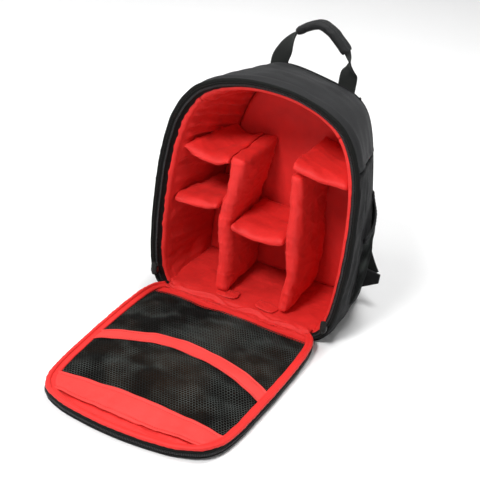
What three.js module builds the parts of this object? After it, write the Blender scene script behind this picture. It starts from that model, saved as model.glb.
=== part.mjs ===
// A camera backpack that stands on its base with its front panel unzipped and laid open on the floor.
// Millimetres, +Z up. +X is to the right of someone who faces the open front, and they stand at -Y.
// The origin is the middle of the base's underside. Soft pieces are plain closed forms of their true outline.
import * as THREE from "three";

// Bag body, as sewn: the seam round the opening at the front, and the edge of the back panel
const FRONT_HALF_WIDTH = 137;
const FRONT_HEIGHT = 313;
const BACK_HALF_WIDTH = 120;
const BACK_HEIGHT = 293;
const BASE_DEPTH = 120;
const FRONT_LEAN = 0.06; // how far the opening leans back, for each millimetre of height
const BACK_LEAN = 0.08;
const SIDE_SWELL = 4; // how far the sides and top stand out half way back

// Walls and the gaps between neighbours
const SHELL_WALL = 2.5;
const LINING_WALL = 13;
const LINING_FLOOR_WALL = 8;
const LINING_BACK_WALL = 8;
const SEAM_GAP = 0.3;
const LINING_GAP = 1;

// Zip round the opening
const ZIP_STRIP_WIDTH = 12;
const RIM_REACH = 8; // how far the shell's front edge stands ahead of the lining's
const ZIP_STRIP_WALL = 2;
const SLIDER = { length: 11, width: 8, height: 5, station: 3 }; // station: points up the outline
const PULL_TAB = { length: 18, width: 8, wall: 2 };

// Front panel, hinged at the floor and laid flat
const LID_HALF_WIDTH = 120;
const LID_LENGTH = 296;
const HINGE_LENGTH = 14; // fabric between the body and the front panel
const HINGE_WALL = 3;
const LID_BASE_WALL = 2.5;
const LID_RIM_WALL = 2.5;
const LID_RIM_HEIGHT = 11;
const LID_RIM_LEAN = 1; // the rim's top stands out past its foot
const LID_PAD_EDGE = 7; // thickness of the padding along its border
const LID_PAD_CROWN = 14; // how much thicker it is at its fullest
const LID_BORDER = 5; // bare lining round the pocket field
const BINDING_RADIUS = 2.4;
const NET_WALL = 1;
const BAND_WALL = 1.6;

// Loose padded dividers
const DIVIDER_THICKNESS = 16;
const DIVIDER_SETBACK = 8; // front edge behind the plane of the opening
const DIVIDER_HEIGHT = 190;
const DIVIDER_EASE = 4; // rounding of its edges
const SHELF_THICKNESS = 12;

// Carrying parts
// bottom and top of both are shares of the back panel's height
const BACK_PAD = { halfWidth: 88, bottom: 0.1, top: 0.81, thickness: 10 };
const YOKE = { halfWidth: 72, bottom: 0.82, top: 0.91, wall: 3 };
const STRAP_WIDTH = 58;
const STRAP_THICKNESS = 12;
const WEBBING_WIDTH = 25;
const WEBBING_WALL = 2;
const BUCKLE = { width: 34, length: 30, thickness: 5, bar: 4, gap: 6 };
const WING = { root: 92, foot: 3, top: 52, reach: 142, tipHeight: 38, tipHalf: 6, wall: 3 };
const HANDLE_WEBBING_WIDTH = 24;
const GRIP_WIDTH = 24;
const GRIP_THICKNESS = 10;
const SIDE_POCKET = { depth: 9, foot: 36, frontTop: 124, backTop: 154, wall: 1.6, rimHeight: 6, rimWall: 3 };

const FABRIC_BLACK = { color: 0x2a2b2d, roughness: 0.85, metalness: 0 };
const LINING_RED = { color: 0xe0352f, roughness: 0.75, metalness: 0 };
const NET_BLACK = { color: 0x161616, roughness: 0.9, metalness: 0 };
const WEBBING_BLACK = { color: 0x1d1e1f, roughness: 0.8, metalness: 0 };
const PLASTIC_BLACK = { color: 0x121212, roughness: 0.4, metalness: 0 };

// Outline of the bag from a bottom corner to the middle of the top, seen from the front.
// across is a share of the half width, up a share of the height.
const OUTLINE = [
  { across: 0.78, up: 0 },
  { across: 0.885, up: 0.035 },
  { across: 0.955, up: 0.115 },
  { across: 0.992, up: 0.27 },
  { across: 1, up: 0.43 },
  { across: 0.985, up: 0.59 },
  { across: 0.942, up: 0.72 },
  { across: 0.872, up: 0.815 },
  { across: 0.755, up: 0.895 },
  { across: 0.56, up: 0.953 },
  { across: 0.3, up: 0.988 },
  { across: 0, up: 1 },
];
// The same for the edge of the back panel, row for row
const BACK_OUTLINE = [
  { across: 0.955, up: 0 },
  { across: 0.995, up: 0.04 },
  { across: 1.01, up: 0.12 },
  { across: 1, up: 0.27 },
  { across: 0.962, up: 0.42 },
  { across: 0.903, up: 0.56 },
  { across: 0.85, up: 0.68 },
  { across: 0.785, up: 0.79 },
  { across: 0.7, up: 0.875 },
  { across: 0.55, up: 0.94 },
  { across: 0.3, up: 0.985 },
  { across: 0, up: 1 },
];
// The front panel's outline from its hinge, row for row with the bag's. It is squarer at its far end.
const LID_OUTLINE = [
  { across: 0.87, up: 0 },
  { across: 0.935, up: 0.035 },
  { across: 0.975, up: 0.09 },
  { across: 0.997, up: 0.2 },
  { across: 1, up: 0.42 },
  { across: 0.988, up: 0.6 },
  { across: 0.97, up: 0.75 },
  { across: 0.93, up: 0.86 },
  { across: 0.84, up: 0.925 },
  { across: 0.64, up: 0.968 },
  { across: 0.35, up: 0.991 },
  { across: 0, up: 1 },
];
const STEPS = 2; // facets between two rows of the outline
const SEAM_STATION = 6; // the row where the top panel is sewn to the side panels
const LINING_STATION = 8;
const DEPTH_ROWS = [0, 0.25, 0.5, 0.75, 1];

// Bowed course of each upright divider. up is a share of its height, across a share of the body's front
// half width, thick a share of the divider thickness.
const LEFT_DIVIDER = [
  { up: 0, across: -0.25, thick: 1.1 },
  { up: 0.25, across: -0.275, thick: 1.05 },
  { up: 0.5, across: -0.33, thick: 1.1 },
  { up: 0.75, across: -0.29, thick: 1.2 },
  { up: 1, across: -0.25, thick: 1.5 },
];
const RIGHT_DIVIDER = [
  { up: 0, across: 0.385, thick: 1 },
  { up: 0.25, across: 0.41, thick: 0.9 },
  { up: 0.5, across: 0.365, thick: 1.1 },
  { up: 0.75, across: 0.345, thick: 0.9 },
  { up: 1, across: 0.305, thick: 1 },
];

// Cross dividers. level is the middle of the thickness at its ends as a share of the divider height,
// tilt lifts the right end and sag drops the middle, as shares of the shelf thickness.
const SHELVES = {
  left_high_shelf: { level: 0.985, tilt: -0.35, sag: 0.75 },
  left_low_shelf: { level: 0.585, tilt: 0.6, sag: 0.25 },
  middle_shelf: { level: 0.51, tilt: 0.05, sag: 0.5 },
  right_shelf: { level: 1.055, tilt: -0.55, sag: 0.2 },
};

// Pocket field of the front panel, from its hinge. from and to are shares of the panel's length.
const LID_FIELD = {
  net_near: { from: 0.065, to: 0.474 },
  band_middle: { from: 0.475, to: 0.54 },
  net_far: { from: 0.541, to: 0.815 },
  band_far: { from: 0.816, to: 0.905 },
};
// Fullness of the padding along the panel, as a share of LID_PAD_CROWN
const LID_CROWN = [
  { along: 0, full: 0 },
  { along: 0.15, full: 0.35 },
  { along: 0.48, full: 1 },
  { along: 0.7, full: 0.75 },
  { along: 0.86, full: 0.3 },
  { along: 1, full: 0 },
];

// Course of a shoulder strap's middle line. across, up: millimetres as shares of the back panel's half
// width and height; off: distance behind the back panel as a share of the strap width; wide: of its width.
const STRAP_COURSE = [
  { across: 0.33, up: 0.91, off: 0.19, wide: 0.9 },
  { across: 0.335, up: 0.85, off: 0.27, wide: 0.95 },
  { across: 0.36, up: 0.75, off: 0.58, wide: 1 },
  { across: 0.41, up: 0.61, off: 0.74, wide: 1 },
  { across: 0.49, up: 0.48, off: 0.74, wide: 1 },
  { across: 0.64, up: 0.36, off: 0.6, wide: 0.92 },
  { across: 0.73, up: 0.275, off: 0.46, wide: 0.7 },
];

// Grab handle, as shares of the back half width and of the height it rises above the back panel
const HANDLE_RISE = 65;
const HANDLE_LEFT_LEG = [
  { across: -0.4, rise: -0.3, turn: 0, wide: 1 },
  { across: -0.4, rise: 0, turn: 0, wide: 1 },
  { across: -0.355, rise: 0.23, turn: 0.15, wide: 0.95 },
  { across: -0.295, rise: 0.47, turn: 0.55, wide: 0.85 },
  { across: -0.226, rise: 0.668, turn: 1, wide: 0.75 },
];
const HANDLE_GRIP = [
  { across: -0.22, rise: 0.68 },
  { across: -0.11, rise: 0.82 },
  { across: 0.02, rise: 0.91 },
  { across: 0.14, rise: 0.83 },
  { across: 0.25, rise: 0.67 },
  { across: 0.345, rise: 0.5 },
];
const HANDLE_RIGHT_LEG = [
  { across: 0.35, rise: 0.489, turn: -1, wide: 0.75 },
  { across: 0.385, rise: 0.36, turn: -0.85, wide: 0.8 },
  { across: 0.4, rise: 0.2, turn: -0.5, wide: 0.9 },
  { across: 0.4, rise: 0.02, turn: 0, wide: 1 },
  { across: 0.4, rise: -0.3, turn: 0, wide: 1 },
];

const { lerp } = THREE.MathUtils;
const vec = (x, y, z) => new THREE.Vector3(x, y, z);
const bag = new THREE.Group();
bag.position.y = -BASE_DEPTH / 2;

function addMesh(name, geometry, finish) {
  const mesh = new THREE.Mesh(geometry, new THREE.MeshStandardMaterial(finish));
  mesh.name = name;
  bag.add(mesh);
  return mesh;
}

// A closed geometry from points and triangles, turned so that its faces point out.
function closedGeometry(points, triangles) {
  let volume = 0;
  for (const [a, b, c] of triangles) {
    volume += points[a].dot(vec(0, 0, 0).crossVectors(points[b], points[c]));
  }
  const faces = volume < 0 ? triangles.map(([a, b, c]) => [a, c, b]) : triangles;
  const geometry = new THREE.BufferGeometry();
  geometry.setAttribute("position", new THREE.Float32BufferAttribute(points.flatMap((p) => p.toArray()), 3));
  geometry.setIndex(faces.flat());
  return geometry;
}

// A wall between two surfaces, each a grid of points in rows.
function wallBetween(outer, inner) {
  const rows = outer.length;
  const columns = outer[0].length;
  const points = [...outer.flat(), ...inner.flat()];
  const front = (r, c) => r * columns + c;
  const back = (r, c) => rows * columns + front(r, c);
  const triangles = [];
  const quad = (a, b, c, d) => triangles.push([a, b, c], [a, c, d]);
  for (let r = 0; r < rows - 1; r++) {
    for (let c = 0; c < columns - 1; c++) {
      quad(front(r, c), front(r, c + 1), front(r + 1, c + 1), front(r + 1, c));
      quad(back(r, c), back(r + 1, c), back(r + 1, c + 1), back(r, c + 1));
    }
    quad(front(r, 0), front(r + 1, 0), back(r + 1, 0), back(r, 0));
    quad(front(r + 1, columns - 1), front(r, columns - 1), back(r, columns - 1), back(r + 1, columns - 1));
  }
  for (let c = 0; c < columns - 1; c++) {
    quad(front(0, c + 1), front(0, c), back(0, c), back(0, c + 1));
    quad(front(rows - 1, c), front(rows - 1, c + 1), back(rows - 1, c + 1), back(rows - 1, c));
  }
  return closedGeometry(points, triangles);
}

// A solid through a row of rings with the same number of points each, with a flat fan at both ends.
function loft(rings) {
  const count = rings[0].length;
  const points = rings.flat();
  const triangles = [];
  for (let r = 0; r < rings.length - 1; r++) {
    for (let i = 0; i < count; i++) {
      const next = (i + 1) % count;
      const [a, b] = [r * count + i, r * count + next];
      triangles.push([a, b, b + count], [a, b + count, a + count]);
    }
  }
  const last = (rings.length - 1) * count;
  for (let i = 1; i < count - 1; i++) {
    triangles.push([0, i + 1, i], [last, last + i, last + i + 1]);
  }
  return closedGeometry(points, triangles);
}

// A plate between two loops with the same number of points. flat gives the loop's outline in two numbers.
function plateBetween(lower, upper, flat) {
  const count = lower.length;
  const faces = THREE.ShapeUtils.triangulateShape(lower.map(flat), []);
  const triangles = [...faces, ...faces.map(([a, b, c]) => [a + count, c + count, b + count])];
  const around = THREE.ShapeUtils.isClockWise(lower.map(flat)) ? 1 : -1;
  for (let i = 0; i < count; i++) {
    const next = (i + 1) % count;
    const side = [[i, next, next + count], [i, next + count, i + count]];
    triangles.push(...side.map(([a, b, c]) => (around > 0 ? [a, b, c] : [a, c, b])));
  }
  return closedGeometry([...lower, ...upper], triangles);
}

// A number or point on a table of rows, smoothly between the rows.
function along(table, keys, share) {
  const curve = new THREE.CatmullRomCurve3(table.map((row) => vec(...keys.map((key) => row[key] ?? 0))));
  return curve.getPoint(share);
}

// A whole outline from the bottom left corner to the bottom right one, as shares.
function wholeOutline(table) {
  const mirrored = [
    ...table.map(({ across, up }) => vec(-across, up, 0)),
    ...table.slice(0, -1).reverse().map(({ across, up }) => vec(across, up, 0)),
  ];
  const curve = new THREE.CatmullRomCurve3(mirrored);
  const last = (mirrored.length - 1) * STEPS;
  return Array.from({ length: last + 1 }, (_, i) => curve.getPoint(i / last));
}
const shares = wholeOutline(OUTLINE);
const backShares = wholeOutline(BACK_OUTLINE);
const lidShares = wholeOutline(LID_OUTLINE);
const LAST = shares.length - 1;
const range = (from, to) => Array.from({ length: to - from + 1 }, (_, i) => from + i);

const frontY = (z) => z * FRONT_LEAN;
const backY = (z) => BASE_DEPTH + z * BACK_LEAN;
const swell = (t) => SIDE_SWELL * 4 * t * (1 - t);

// A layer of the body's wall: how far inside the outer face it lies, the level of its floor, and where
// its front edge is as a share of the way from the shell's front edge to the back.
const OUTER_FACE = { inset: 0, floor: 0, from: 0 };
const OPENING = RIM_REACH / (RIM_REACH + BASE_DEPTH);
const depthRows = (layer) => [layer.from, ...DEPTH_ROWS.slice(1)];
const depthY = (z, t) => lerp(frontY(z) - RIM_REACH, backY(z), t);

const shareAt = (table, i) => table[Math.floor(i)].clone().lerp(table[Math.ceil(i)], i - Math.floor(i));

// A point of a layer: i along the outline, t from the shell's front edge to the back.
function bodyPoint(i, t, { inset, floor } = OUTER_FACE) {
  const [front, back] = [shareAt(shares, i), shareAt(backShares, i)];
  const grown = swell(t) - inset;
  const x = lerp(front.x * (FRONT_HALF_WIDTH + grown), back.x * (BACK_HALF_WIDTH + grown), t);
  const up = lerp(front.y * (FRONT_HEIGHT + grown - floor), back.y * (BACK_HEIGHT + grown - floor), t);
  const z = floor + up;
  return vec(x, depthY(z, t), z);
}

// Half width of a layer at a height and a place from front to back.
function halfWidthAt(z, y, layer = OUTER_FACE) {
  const t = (y - depthY(z, 0)) / (backY(z) - depthY(z, 0));
  const side = range(0, LAST / 2).map((i) => bodyPoint(i, t, layer));
  const above = Math.max(1, side.findIndex((p) => p.z >= z));
  const [low, high] = [side[above - 1], side[above]];
  return -lerp(low.x, high.x, (z - low.z) / (high.z - low.z));
}

// A wall that follows the outline between two places on it, which may lie between its points.
function gussetWall(from, to, layer, wall) {
  const places = [from, ...range(Math.floor(from) + 1, Math.ceil(to) - 1), to];
  const surface = (inset) => depthRows(layer).map((t) => places.map((i) => bodyPoint(i, t, { ...layer, inset })));
  return wallBetween(surface(layer.inset), surface(layer.inset + wall));
}

// The part of a loop of points above a level, closed along that level.
function loopAbove(points, level) {
  const kept = [];
  points.forEach((p, i) => {
    const before = points[i - 1];
    if (before && before.z > level !== p.z > level) {
      kept.push(before.clone().lerp(p, (level - before.z) / (p.z - before.z)));
    }
    if (p.z > level) kept.push(p);
  });
  return kept;
}

const seenFromFront = (p) => new THREE.Vector2(p.x, p.z);
const seenFromAbove = (p) => new THREE.Vector2(p.x, p.y);
const shifted = (points, x, y, z) => points.map((p) => p.clone().add(vec(x, y, z)));

const SEAM = SEAM_STATION * STEPS;
const SPLIT = LINING_STATION * STEPS;
const LINING_BASE = SHELL_WALL + SEAM_GAP;
const LINING_FACE = { inset: SHELL_WALL + LINING_GAP, floor: LINING_BASE, from: OPENING };
const INNER_FACE = { ...LINING_FACE, inset: LINING_FACE.inset + LINING_WALL };
const FLOOR_TOP = LINING_BASE + LINING_FLOOR_WALL;

// Share of the step after a point of the outline that is as long as a seam gap.
const gapShare = (i) => SEAM_GAP / (shares[i].distanceTo(shares[i + 1]) * BACK_HALF_WIDTH);

// The outline of a floor that reaches to the inside of a layer.
function floorLoop(z, layer, gap) {
  const edge = depthRows(layer).map((t) => {
    const y = depthY(z, t);
    return vec(halfWidthAt(z, y, layer) - gap, y, z);
  });
  return [...edge, ...edge.map((p) => vec(-p.x, p.y, p.z)).reverse()];
}

function buildShell() {
  const split = SEAM + gapShare(SEAM);
  addMesh("side_panel_left", gussetWall(0, SEAM, OUTER_FACE, SHELL_WALL), FABRIC_BLACK);
  addMesh("side_panel_right", gussetWall(LAST - SEAM, LAST, OUTER_FACE, SHELL_WALL), FABRIC_BLACK);
  addMesh("top_panel", gussetWall(split, LAST - split, OUTER_FACE, SHELL_WALL), FABRIC_BLACK);

  const rim = range(0, LAST).map((i) => bodyPoint(i, 1));
  const back = plateBetween(shifted(rim, 0, SEAM_GAP, 0), shifted(rim, 0, SEAM_GAP + SHELL_WALL, 0), seenFromFront);
  addMesh("back_panel", back, FABRIC_BLACK);

  const loop = (z) => floorLoop(z, { ...OUTER_FACE, inset: SHELL_WALL }, LINING_GAP);
  addMesh("floor_panel", plateBetween(loop(0), loop(SHELL_WALL), seenFromAbove), FABRIC_BLACK);
}

function buildLining() {
  const split = SPLIT + gapShare(SPLIT);
  addMesh("lining_left", gussetWall(0, SPLIT, LINING_FACE, LINING_WALL), LINING_RED);
  addMesh("lining_right", gussetWall(LAST - SPLIT, LAST, LINING_FACE, LINING_WALL), LINING_RED);
  addMesh("lining_top", gussetWall(split, LAST - split, LINING_FACE, LINING_WALL), LINING_RED);

  const floorAt = (z) => floorLoop(z, INNER_FACE, LINING_GAP);
  addMesh("lining_floor", plateBetween(floorAt(LINING_BASE), floorAt(FLOOR_TOP), seenFromAbove), LINING_RED);

  const inside = { ...INNER_FACE, inset: INNER_FACE.inset + LINING_GAP };
  const loop = loopAbove(range(0, LAST).map((i) => bodyPoint(i, 1, inside)), FLOOR_TOP + SEAM_GAP);
  const back = plateBetween(
    shifted(loop, 0, -SEAM_GAP - LINING_BACK_WALL, 0),
    shifted(loop, 0, -SEAM_GAP, 0),
    seenFromFront,
  );
  addMesh("lining_back", back, LINING_RED);
}

function buildZip() {
  // The strip covers the shell's front edge, then slopes back to the edge of the lining.
  const course = [[0, 0], [SHELL_WALL + SEAM_GAP, 0], [ZIP_STRIP_WIDTH, OPENING]];
  const strip = (lift) => course.map(([inset, t]) =>
    range(0, LAST).map((i) => bodyPoint(i, t, { inset, floor: LINING_BASE }).add(vec(0, lift, 0))));
  addMesh("zip_strip", wallBetween(strip(-SEAM_GAP - ZIP_STRIP_WALL), strip(-SEAM_GAP)), WEBBING_BLACK);

  const shape = new THREE.Shape();
  const [half, nose] = [SLIDER.width / 2, SLIDER.width / 3];
  shape.moveTo(-nose, 0).lineTo(nose, 0).lineTo(half, SLIDER.length / 3);
  shape.lineTo(half, SLIDER.length).lineTo(-half, SLIDER.length).lineTo(-half, SLIDER.length / 3).closePath();
  for (const [name, side] of [["left", -1], ["right", 1]]) {
    const corner = bodyPoint(side < 0 ? SLIDER.station : LAST - SLIDER.station, 0, { ...OUTER_FACE, inset: ZIP_STRIP_WIDTH / 2 });
    const front = corner.y - SEAM_GAP * 2 - ZIP_STRIP_WALL;
    const body = new THREE.ExtrudeGeometry(shape, { depth: SLIDER.height, bevelEnabled: false });
    body.rotateX(Math.PI / 2);
    body.translate(corner.x, front, corner.z);
    addMesh("zip_slider_" + name, body, PLASTIC_BLACK);
    const tab = new THREE.BoxGeometry(PULL_TAB.width, PULL_TAB.wall, PULL_TAB.length);
    tab.translate(corner.x, front - SLIDER.height - SEAM_GAP - PULL_TAB.wall / 2, corner.z + PULL_TAB.length / 2);
    addMesh("zip_pull_" + name, tab, WEBBING_BLACK);
  }
}

// A point of the front panel's outline, laid on the floor with its hinge towards the body.
function lidPoint(i, inset, z) {
  const length = LID_LENGTH - inset;
  return vec(lidShares[i].x * (LID_HALF_WIDTH - inset), -HINGE_LENGTH - lidShares[i].y * length, z);
}

function lidHalfWidthAt(share, inset) {
  const side = lidShares.slice(0, LAST / 2 + 1);
  const y = (share * LID_LENGTH) / (LID_LENGTH - inset);
  const above = Math.max(1, side.findIndex((p) => p.y >= Math.min(y, 1)));
  const [low, high] = [side[above - 1], side[above]];
  return -lerp(low.x, high.x, (y - low.y) / (high.y - low.y)) * (LID_HALF_WIDTH - inset);
}

const PAD_BASE = LID_BASE_WALL + SEAM_GAP;
const PAD_INSET = LID_RIM_WALL + SEAM_GAP;

// Height of the padding's upper face; across runs from -1 to 1 over its width and share from the hinge.
function padTop(across, share) {
  const full = along(LID_CROWN, ["along", "full"], crownShare(share)).y;
  return PAD_BASE + LID_PAD_EDGE + LID_PAD_CROWN * full * (1 - across * across);
}

function crownShare(share) {
  const above = Math.max(1, LID_CROWN.findIndex((row) => row.along >= share));
  const [low, high] = [LID_CROWN[above - 1], LID_CROWN[above]];
  return (above - 1 + (share - low.along) / (high.along - low.along)) / (LID_CROWN.length - 1);
}

const FIELD_COLUMNS = range(0, 10).map((c) => c / 5 - 1);

// A sheet of the pocket field that lies on the padding.
function fieldSheet({ from, to }, wall, rows) {
  const surface = (lift) => range(0, rows).map((r) => {
    const share = lerp(from, to, r / rows);
    const reach = lidHalfWidthAt(share, PAD_INSET);
    return FIELD_COLUMNS.map((across) => {
      const x = across * (reach - LID_BORDER);
      return vec(x, -HINGE_LENGTH - share * LID_LENGTH, padTop(x / reach, share) + lift);
    });
  });
  return wallBetween(surface(SEAM_GAP * 2 + wall), surface(SEAM_GAP * 2));
}

function buildLid() {
  const rim = range(0, LAST);
  const base = (z) => rim.map((i) => lidPoint(i, 0, z));
  addMesh("lid_base", plateBetween(base(0), base(LID_BASE_WALL), seenFromAbove), FABRIC_BLACK);

  const rimRow = (inset) => [[PAD_BASE, inset], [LID_RIM_HEIGHT, inset - LID_RIM_LEAN]].map(([z, at]) =>
    rim.map((i) => lidPoint(i, at, z)));
  addMesh("lid_rim", wallBetween(rimRow(0), rimRow(LID_RIM_WALL)), WEBBING_BLACK);

  // The rows of the padding's grid include the edges of the sheets above it, so the facets agree.
  const stops = Object.values(LID_FIELD).flatMap(({ from, to }) => [from, to]);
  const rows = [0.012, ...stops, 0.95, 0.985].flatMap((share, i, all) =>
    i && share - all[i - 1] > 0.05 ? [lerp(all[i - 1], share, 0.34), lerp(all[i - 1], share, 0.67), share] : [share]);
  const surface = (height) => rows.map((share) => {
    const reach = lidHalfWidthAt(share, PAD_INSET);
    return FIELD_COLUMNS.map((across) =>
      vec(across * reach, -HINGE_LENGTH - share * LID_LENGTH, height(across, share)));
  });
  addMesh("lid_pad", wallBetween(surface(padTop), surface(() => PAD_BASE)), LINING_RED);

  addMesh("net_near", fieldSheet(LID_FIELD.net_near, NET_WALL, 6), NET_BLACK);
  addMesh("band_middle", fieldSheet(LID_FIELD.band_middle, BAND_WALL, 2), LINING_RED);
  addMesh("net_far", fieldSheet(LID_FIELD.net_far, NET_WALL, 5), NET_BLACK);
  addMesh("band_far", fieldSheet(LID_FIELD.band_far, BAND_WALL, 2), LINING_RED);

  const piping = LID_RIM_HEIGHT + SEAM_GAP + BINDING_RADIUS;
  const middle = LID_RIM_WALL / 2 - LID_RIM_LEAN;
  const ring = (i) => range(0, 7).map((k) => {
    const turn = (k / 8) * 2 * Math.PI;
    return lidPoint(i, middle + BINDING_RADIUS * Math.cos(turn), piping + BINDING_RADIUS * Math.sin(turn));
  });
  addMesh("lid_binding", loft(rim.map(ring)), LINING_RED);
}

function buildHinge() {
  const opening = shares[LAST].x * (FRONT_HALF_WIDTH - ZIP_STRIP_WIDTH);
  const half = Math.min(opening, lidShares[LAST].x * LID_HALF_WIDTH) - LID_RIM_WALL;
  const near = -SEAM_GAP;
  const far = -HINGE_LENGTH + SEAM_GAP;
  const outer = new THREE.BoxGeometry(half * 2, near - RIM_REACH - far, SHELL_WALL);
  outer.translate(0, (near - RIM_REACH + far) / 2, SHELL_WALL / 2);
  addMesh("hinge_outer", outer, FABRIC_BLACK);

  // The lining dips into the fold between the padding and the floor of the bag.
  const dip = [0.9, 0.25, 0.05, 0.35, 0.95];
  const surface = (lift) => dip.map((height, i) => {
    const z = lerp(LINING_BASE, FLOOR_TOP - HINGE_WALL, height) + lift;
    const y = lerp(near, far, i / (dip.length - 1));
    return range(0, 8).map((c) => vec(lerp(-half, half, c / 8), y, z));
  });
  addMesh("hinge_lining", wallBetween(surface(HINGE_WALL), surface(0)), LINING_RED);
}

const DIVIDER_BASE = FLOOR_TOP + SEAM_GAP;
const liningFace = (z) => backY(z) - LINING_BACK_WALL - SEAM_GAP * 2;
const DIVIDER_LEVELS = 10;

function dividerAt(course, z) {
  const share = (z - DIVIDER_BASE) / DIVIDER_HEIGHT;
  const at = (level) => along(course, ["across", "thick"], Math.min(Math.max(level, 0), 1));
  const low = Math.floor(share * DIVIDER_LEVELS) / DIVIDER_LEVELS;
  const row = at(low).lerp(at(low + 1 / DIVIDER_LEVELS), (share - low) * DIVIDER_LEVELS);
  return { middle: row.x * FRONT_HALF_WIDTH, half: (row.y * DIVIDER_THICKNESS) / 2 };
}

function upright(name, course) {
  const ring = (level) => {
    const z = DIVIDER_BASE + (level / DIVIDER_LEVELS) * DIVIDER_HEIGHT;
    const { middle, half } = dividerAt(course, z);
    const [front, back] = [frontY(z) + DIVIDER_SETBACK, liningFace(z)];
    const corner = (x, y) => vec(middle + x, y, z);
    return [
      corner(-half, back), corner(-half, front + DIVIDER_EASE), corner(DIVIDER_EASE - half, front),
      corner(half - DIVIDER_EASE, front), corner(half, front + DIVIDER_EASE), corner(half, back),
    ];
  };
  addMesh(name, loft(range(0, DIVIDER_LEVELS).map(ring)), LINING_RED);
}

// A cross divider between two boundaries, each a function of height and depth.
function shelf(name, leftAt, rightAt) {
  const { level, tilt, sag } = SHELVES[name];
  const columns = 8;
  const middle = (c) => {
    const share = c / columns;
    const drop = sag * 4 * share * (1 - share);
    return DIVIDER_BASE + level * DIVIDER_HEIGHT + (tilt * share - drop) * SHELF_THICKNESS;
  };
  const rows = [0, 0.06, 0.5, 1];
  const surface = (side) => rows.map((row) =>
    range(0, columns).map((c) => {
      const ease = row === 0 ? DIVIDER_EASE / SHELF_THICKNESS : 0;
      const z = middle(c) + side * SHELF_THICKNESS * (0.5 - ease);
      const y = lerp(frontY(z) + DIVIDER_SETBACK, liningFace(z), row);
      const left = leftAt(z, y) + LINING_GAP;
      const right = rightAt(z, y) - LINING_GAP;
      return vec(lerp(left, right, c / columns), y, z);
    }));
  addMesh(name, wallBetween(surface(1), surface(-1)), LINING_RED);
}

function buildDividers() {
  upright("divider_left", LEFT_DIVIDER);
  upright("divider_right", RIGHT_DIVIDER);
  const wall = (z, y) => halfWidthAt(z, y, INNER_FACE);
  const face = (course, side) => (z) => {
    const { middle, half } = dividerAt(course, z);
    return middle + side * half;
  };
  shelf("left_high_shelf", (z, y) => -wall(z, y), face(LEFT_DIVIDER, -1));
  shelf("left_low_shelf", (z, y) => -wall(z, y), face(LEFT_DIVIDER, -1));
  shelf("middle_shelf", face(LEFT_DIVIDER, 1), face(RIGHT_DIVIDER, -1));
  shelf("right_shelf", () => face(RIGHT_DIVIDER, -1)(DIVIDER_BASE + DIVIDER_HEIGHT), wall);
}

function buildSidePockets() {
  const { depth, foot, frontTop, backTop, wall, rimHeight, rimWall } = SIDE_POCKET;
  const [from, to] = [0.36, 0.97]; // reach along the side panel, as shares of the body's depth
  const place = (side, a, z, stand) => {
    const y = lerp(frontY(z), backY(z), lerp(from, to, a));
    return vec(side * (halfWidthAt(z, y) + stand), y, z);
  };
  const fullness = (a) => Math.sqrt(Math.max(0, Math.sin(Math.PI * a)));
  const columns = range(0, 8).map((c) => c / 8);
  for (const [name, side] of [["left", -1], ["right", 1]]) {
    const top = (a) => lerp(frontTop, backTop, a);
    const sheet = (lift) => range(0, 5).map((r) => columns.map((a) => {
      const b = r / 5;
      const stand = SEAM_GAP * 2 + depth * fullness(a) * Math.sqrt(Math.sin((Math.PI / 2) * b));
      return place(side, a, lerp(foot, top(a), b), stand + lift);
    }));
    addMesh("side_pocket_" + name, wallBetween(sheet(wall), sheet(0)), NET_BLACK);
    const rim = (lift) => [SEAM_GAP, rimHeight].map((up) => columns.map((a) =>
      place(side, a, top(a) + up, SEAM_GAP * 2 + depth * fullness(a) + lift)));
    addMesh("side_pocket_rim_" + name, wallBetween(rim(rimWall), rim(0)), WEBBING_BLACK);
  }
}

// A flat or padded ribbon through stations of a middle point, a direction across it and its two sizes.
function ribbon(stations, sides) {
  return loft(stations.map(({ middle, across, normal, width, thickness }) =>
    sides.map(([u, v]) => middle.clone()
      .addScaledVector(across, (u * width) / 2)
      .addScaledVector(normal, (v * thickness) / 2))));
}
const FLAT_SECTION = [[-1, -1], [1, -1], [1, 1], [-1, 1]];
const PADDED_SECTION = [[-1, 0], [-0.9, -0.75], [-0.5, -1], [0.5, -1], [0.9, -0.75], [1, 0], [0.9, 0.75], [0.5, 1], [-0.5, 1], [-0.9, 0.75]];

const OUTSIDE = SEAM_GAP + SHELL_WALL; // outer face of the back panel, behind backY

function strapPoint(side, { across, up, off }) {
  const z = up * BACK_HEIGHT;
  return vec(side * across * BACK_HALF_WIDTH, backY(z) + OUTSIDE + off * STRAP_WIDTH, z);
}

function strapFrame(point, next, before) {
  const run = next.clone().sub(before).normalize();
  const across = vec(0, 1, 0).cross(run).normalize();
  return { middle: point, across, normal: vec(0, 0, 0).crossVectors(run, across).normalize() };
}

function buildBackPad() {
  const { halfWidth, bottom, top, thickness } = BACK_PAD;
  const rows = [0, 0.04, 0.5, 0.96, 1].map((share) => lerp(bottom, top, share) * BACK_HEIGHT);
  const surface = (lift) => rows.map((z, r) => [-1, -0.92, 0, 0.92, 1].map((across, c) => {
    const edge = r % 4 === 0 || c % 4 === 0;
    const off = OUTSIDE + SEAM_GAP + (lift && edge ? thickness / 2 : lift);
    return vec(across * halfWidth, backY(z) + off, z);
  }));
  addMesh("back_pad", wallBetween(surface(thickness), surface(0)), NET_BLACK);

  const levels = [YOKE.bottom, YOKE.top].map((share) => share * BACK_HEIGHT);
  const yoke = (off) => levels.map((z) =>
    [-1, 1].map((side) => vec(side * YOKE.halfWidth, backY(z) + OUTSIDE + off, z)));
  addMesh("yoke_patch", wallBetween(yoke(SEAM_GAP + YOKE.wall), yoke(SEAM_GAP)), FABRIC_BLACK);
}

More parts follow.
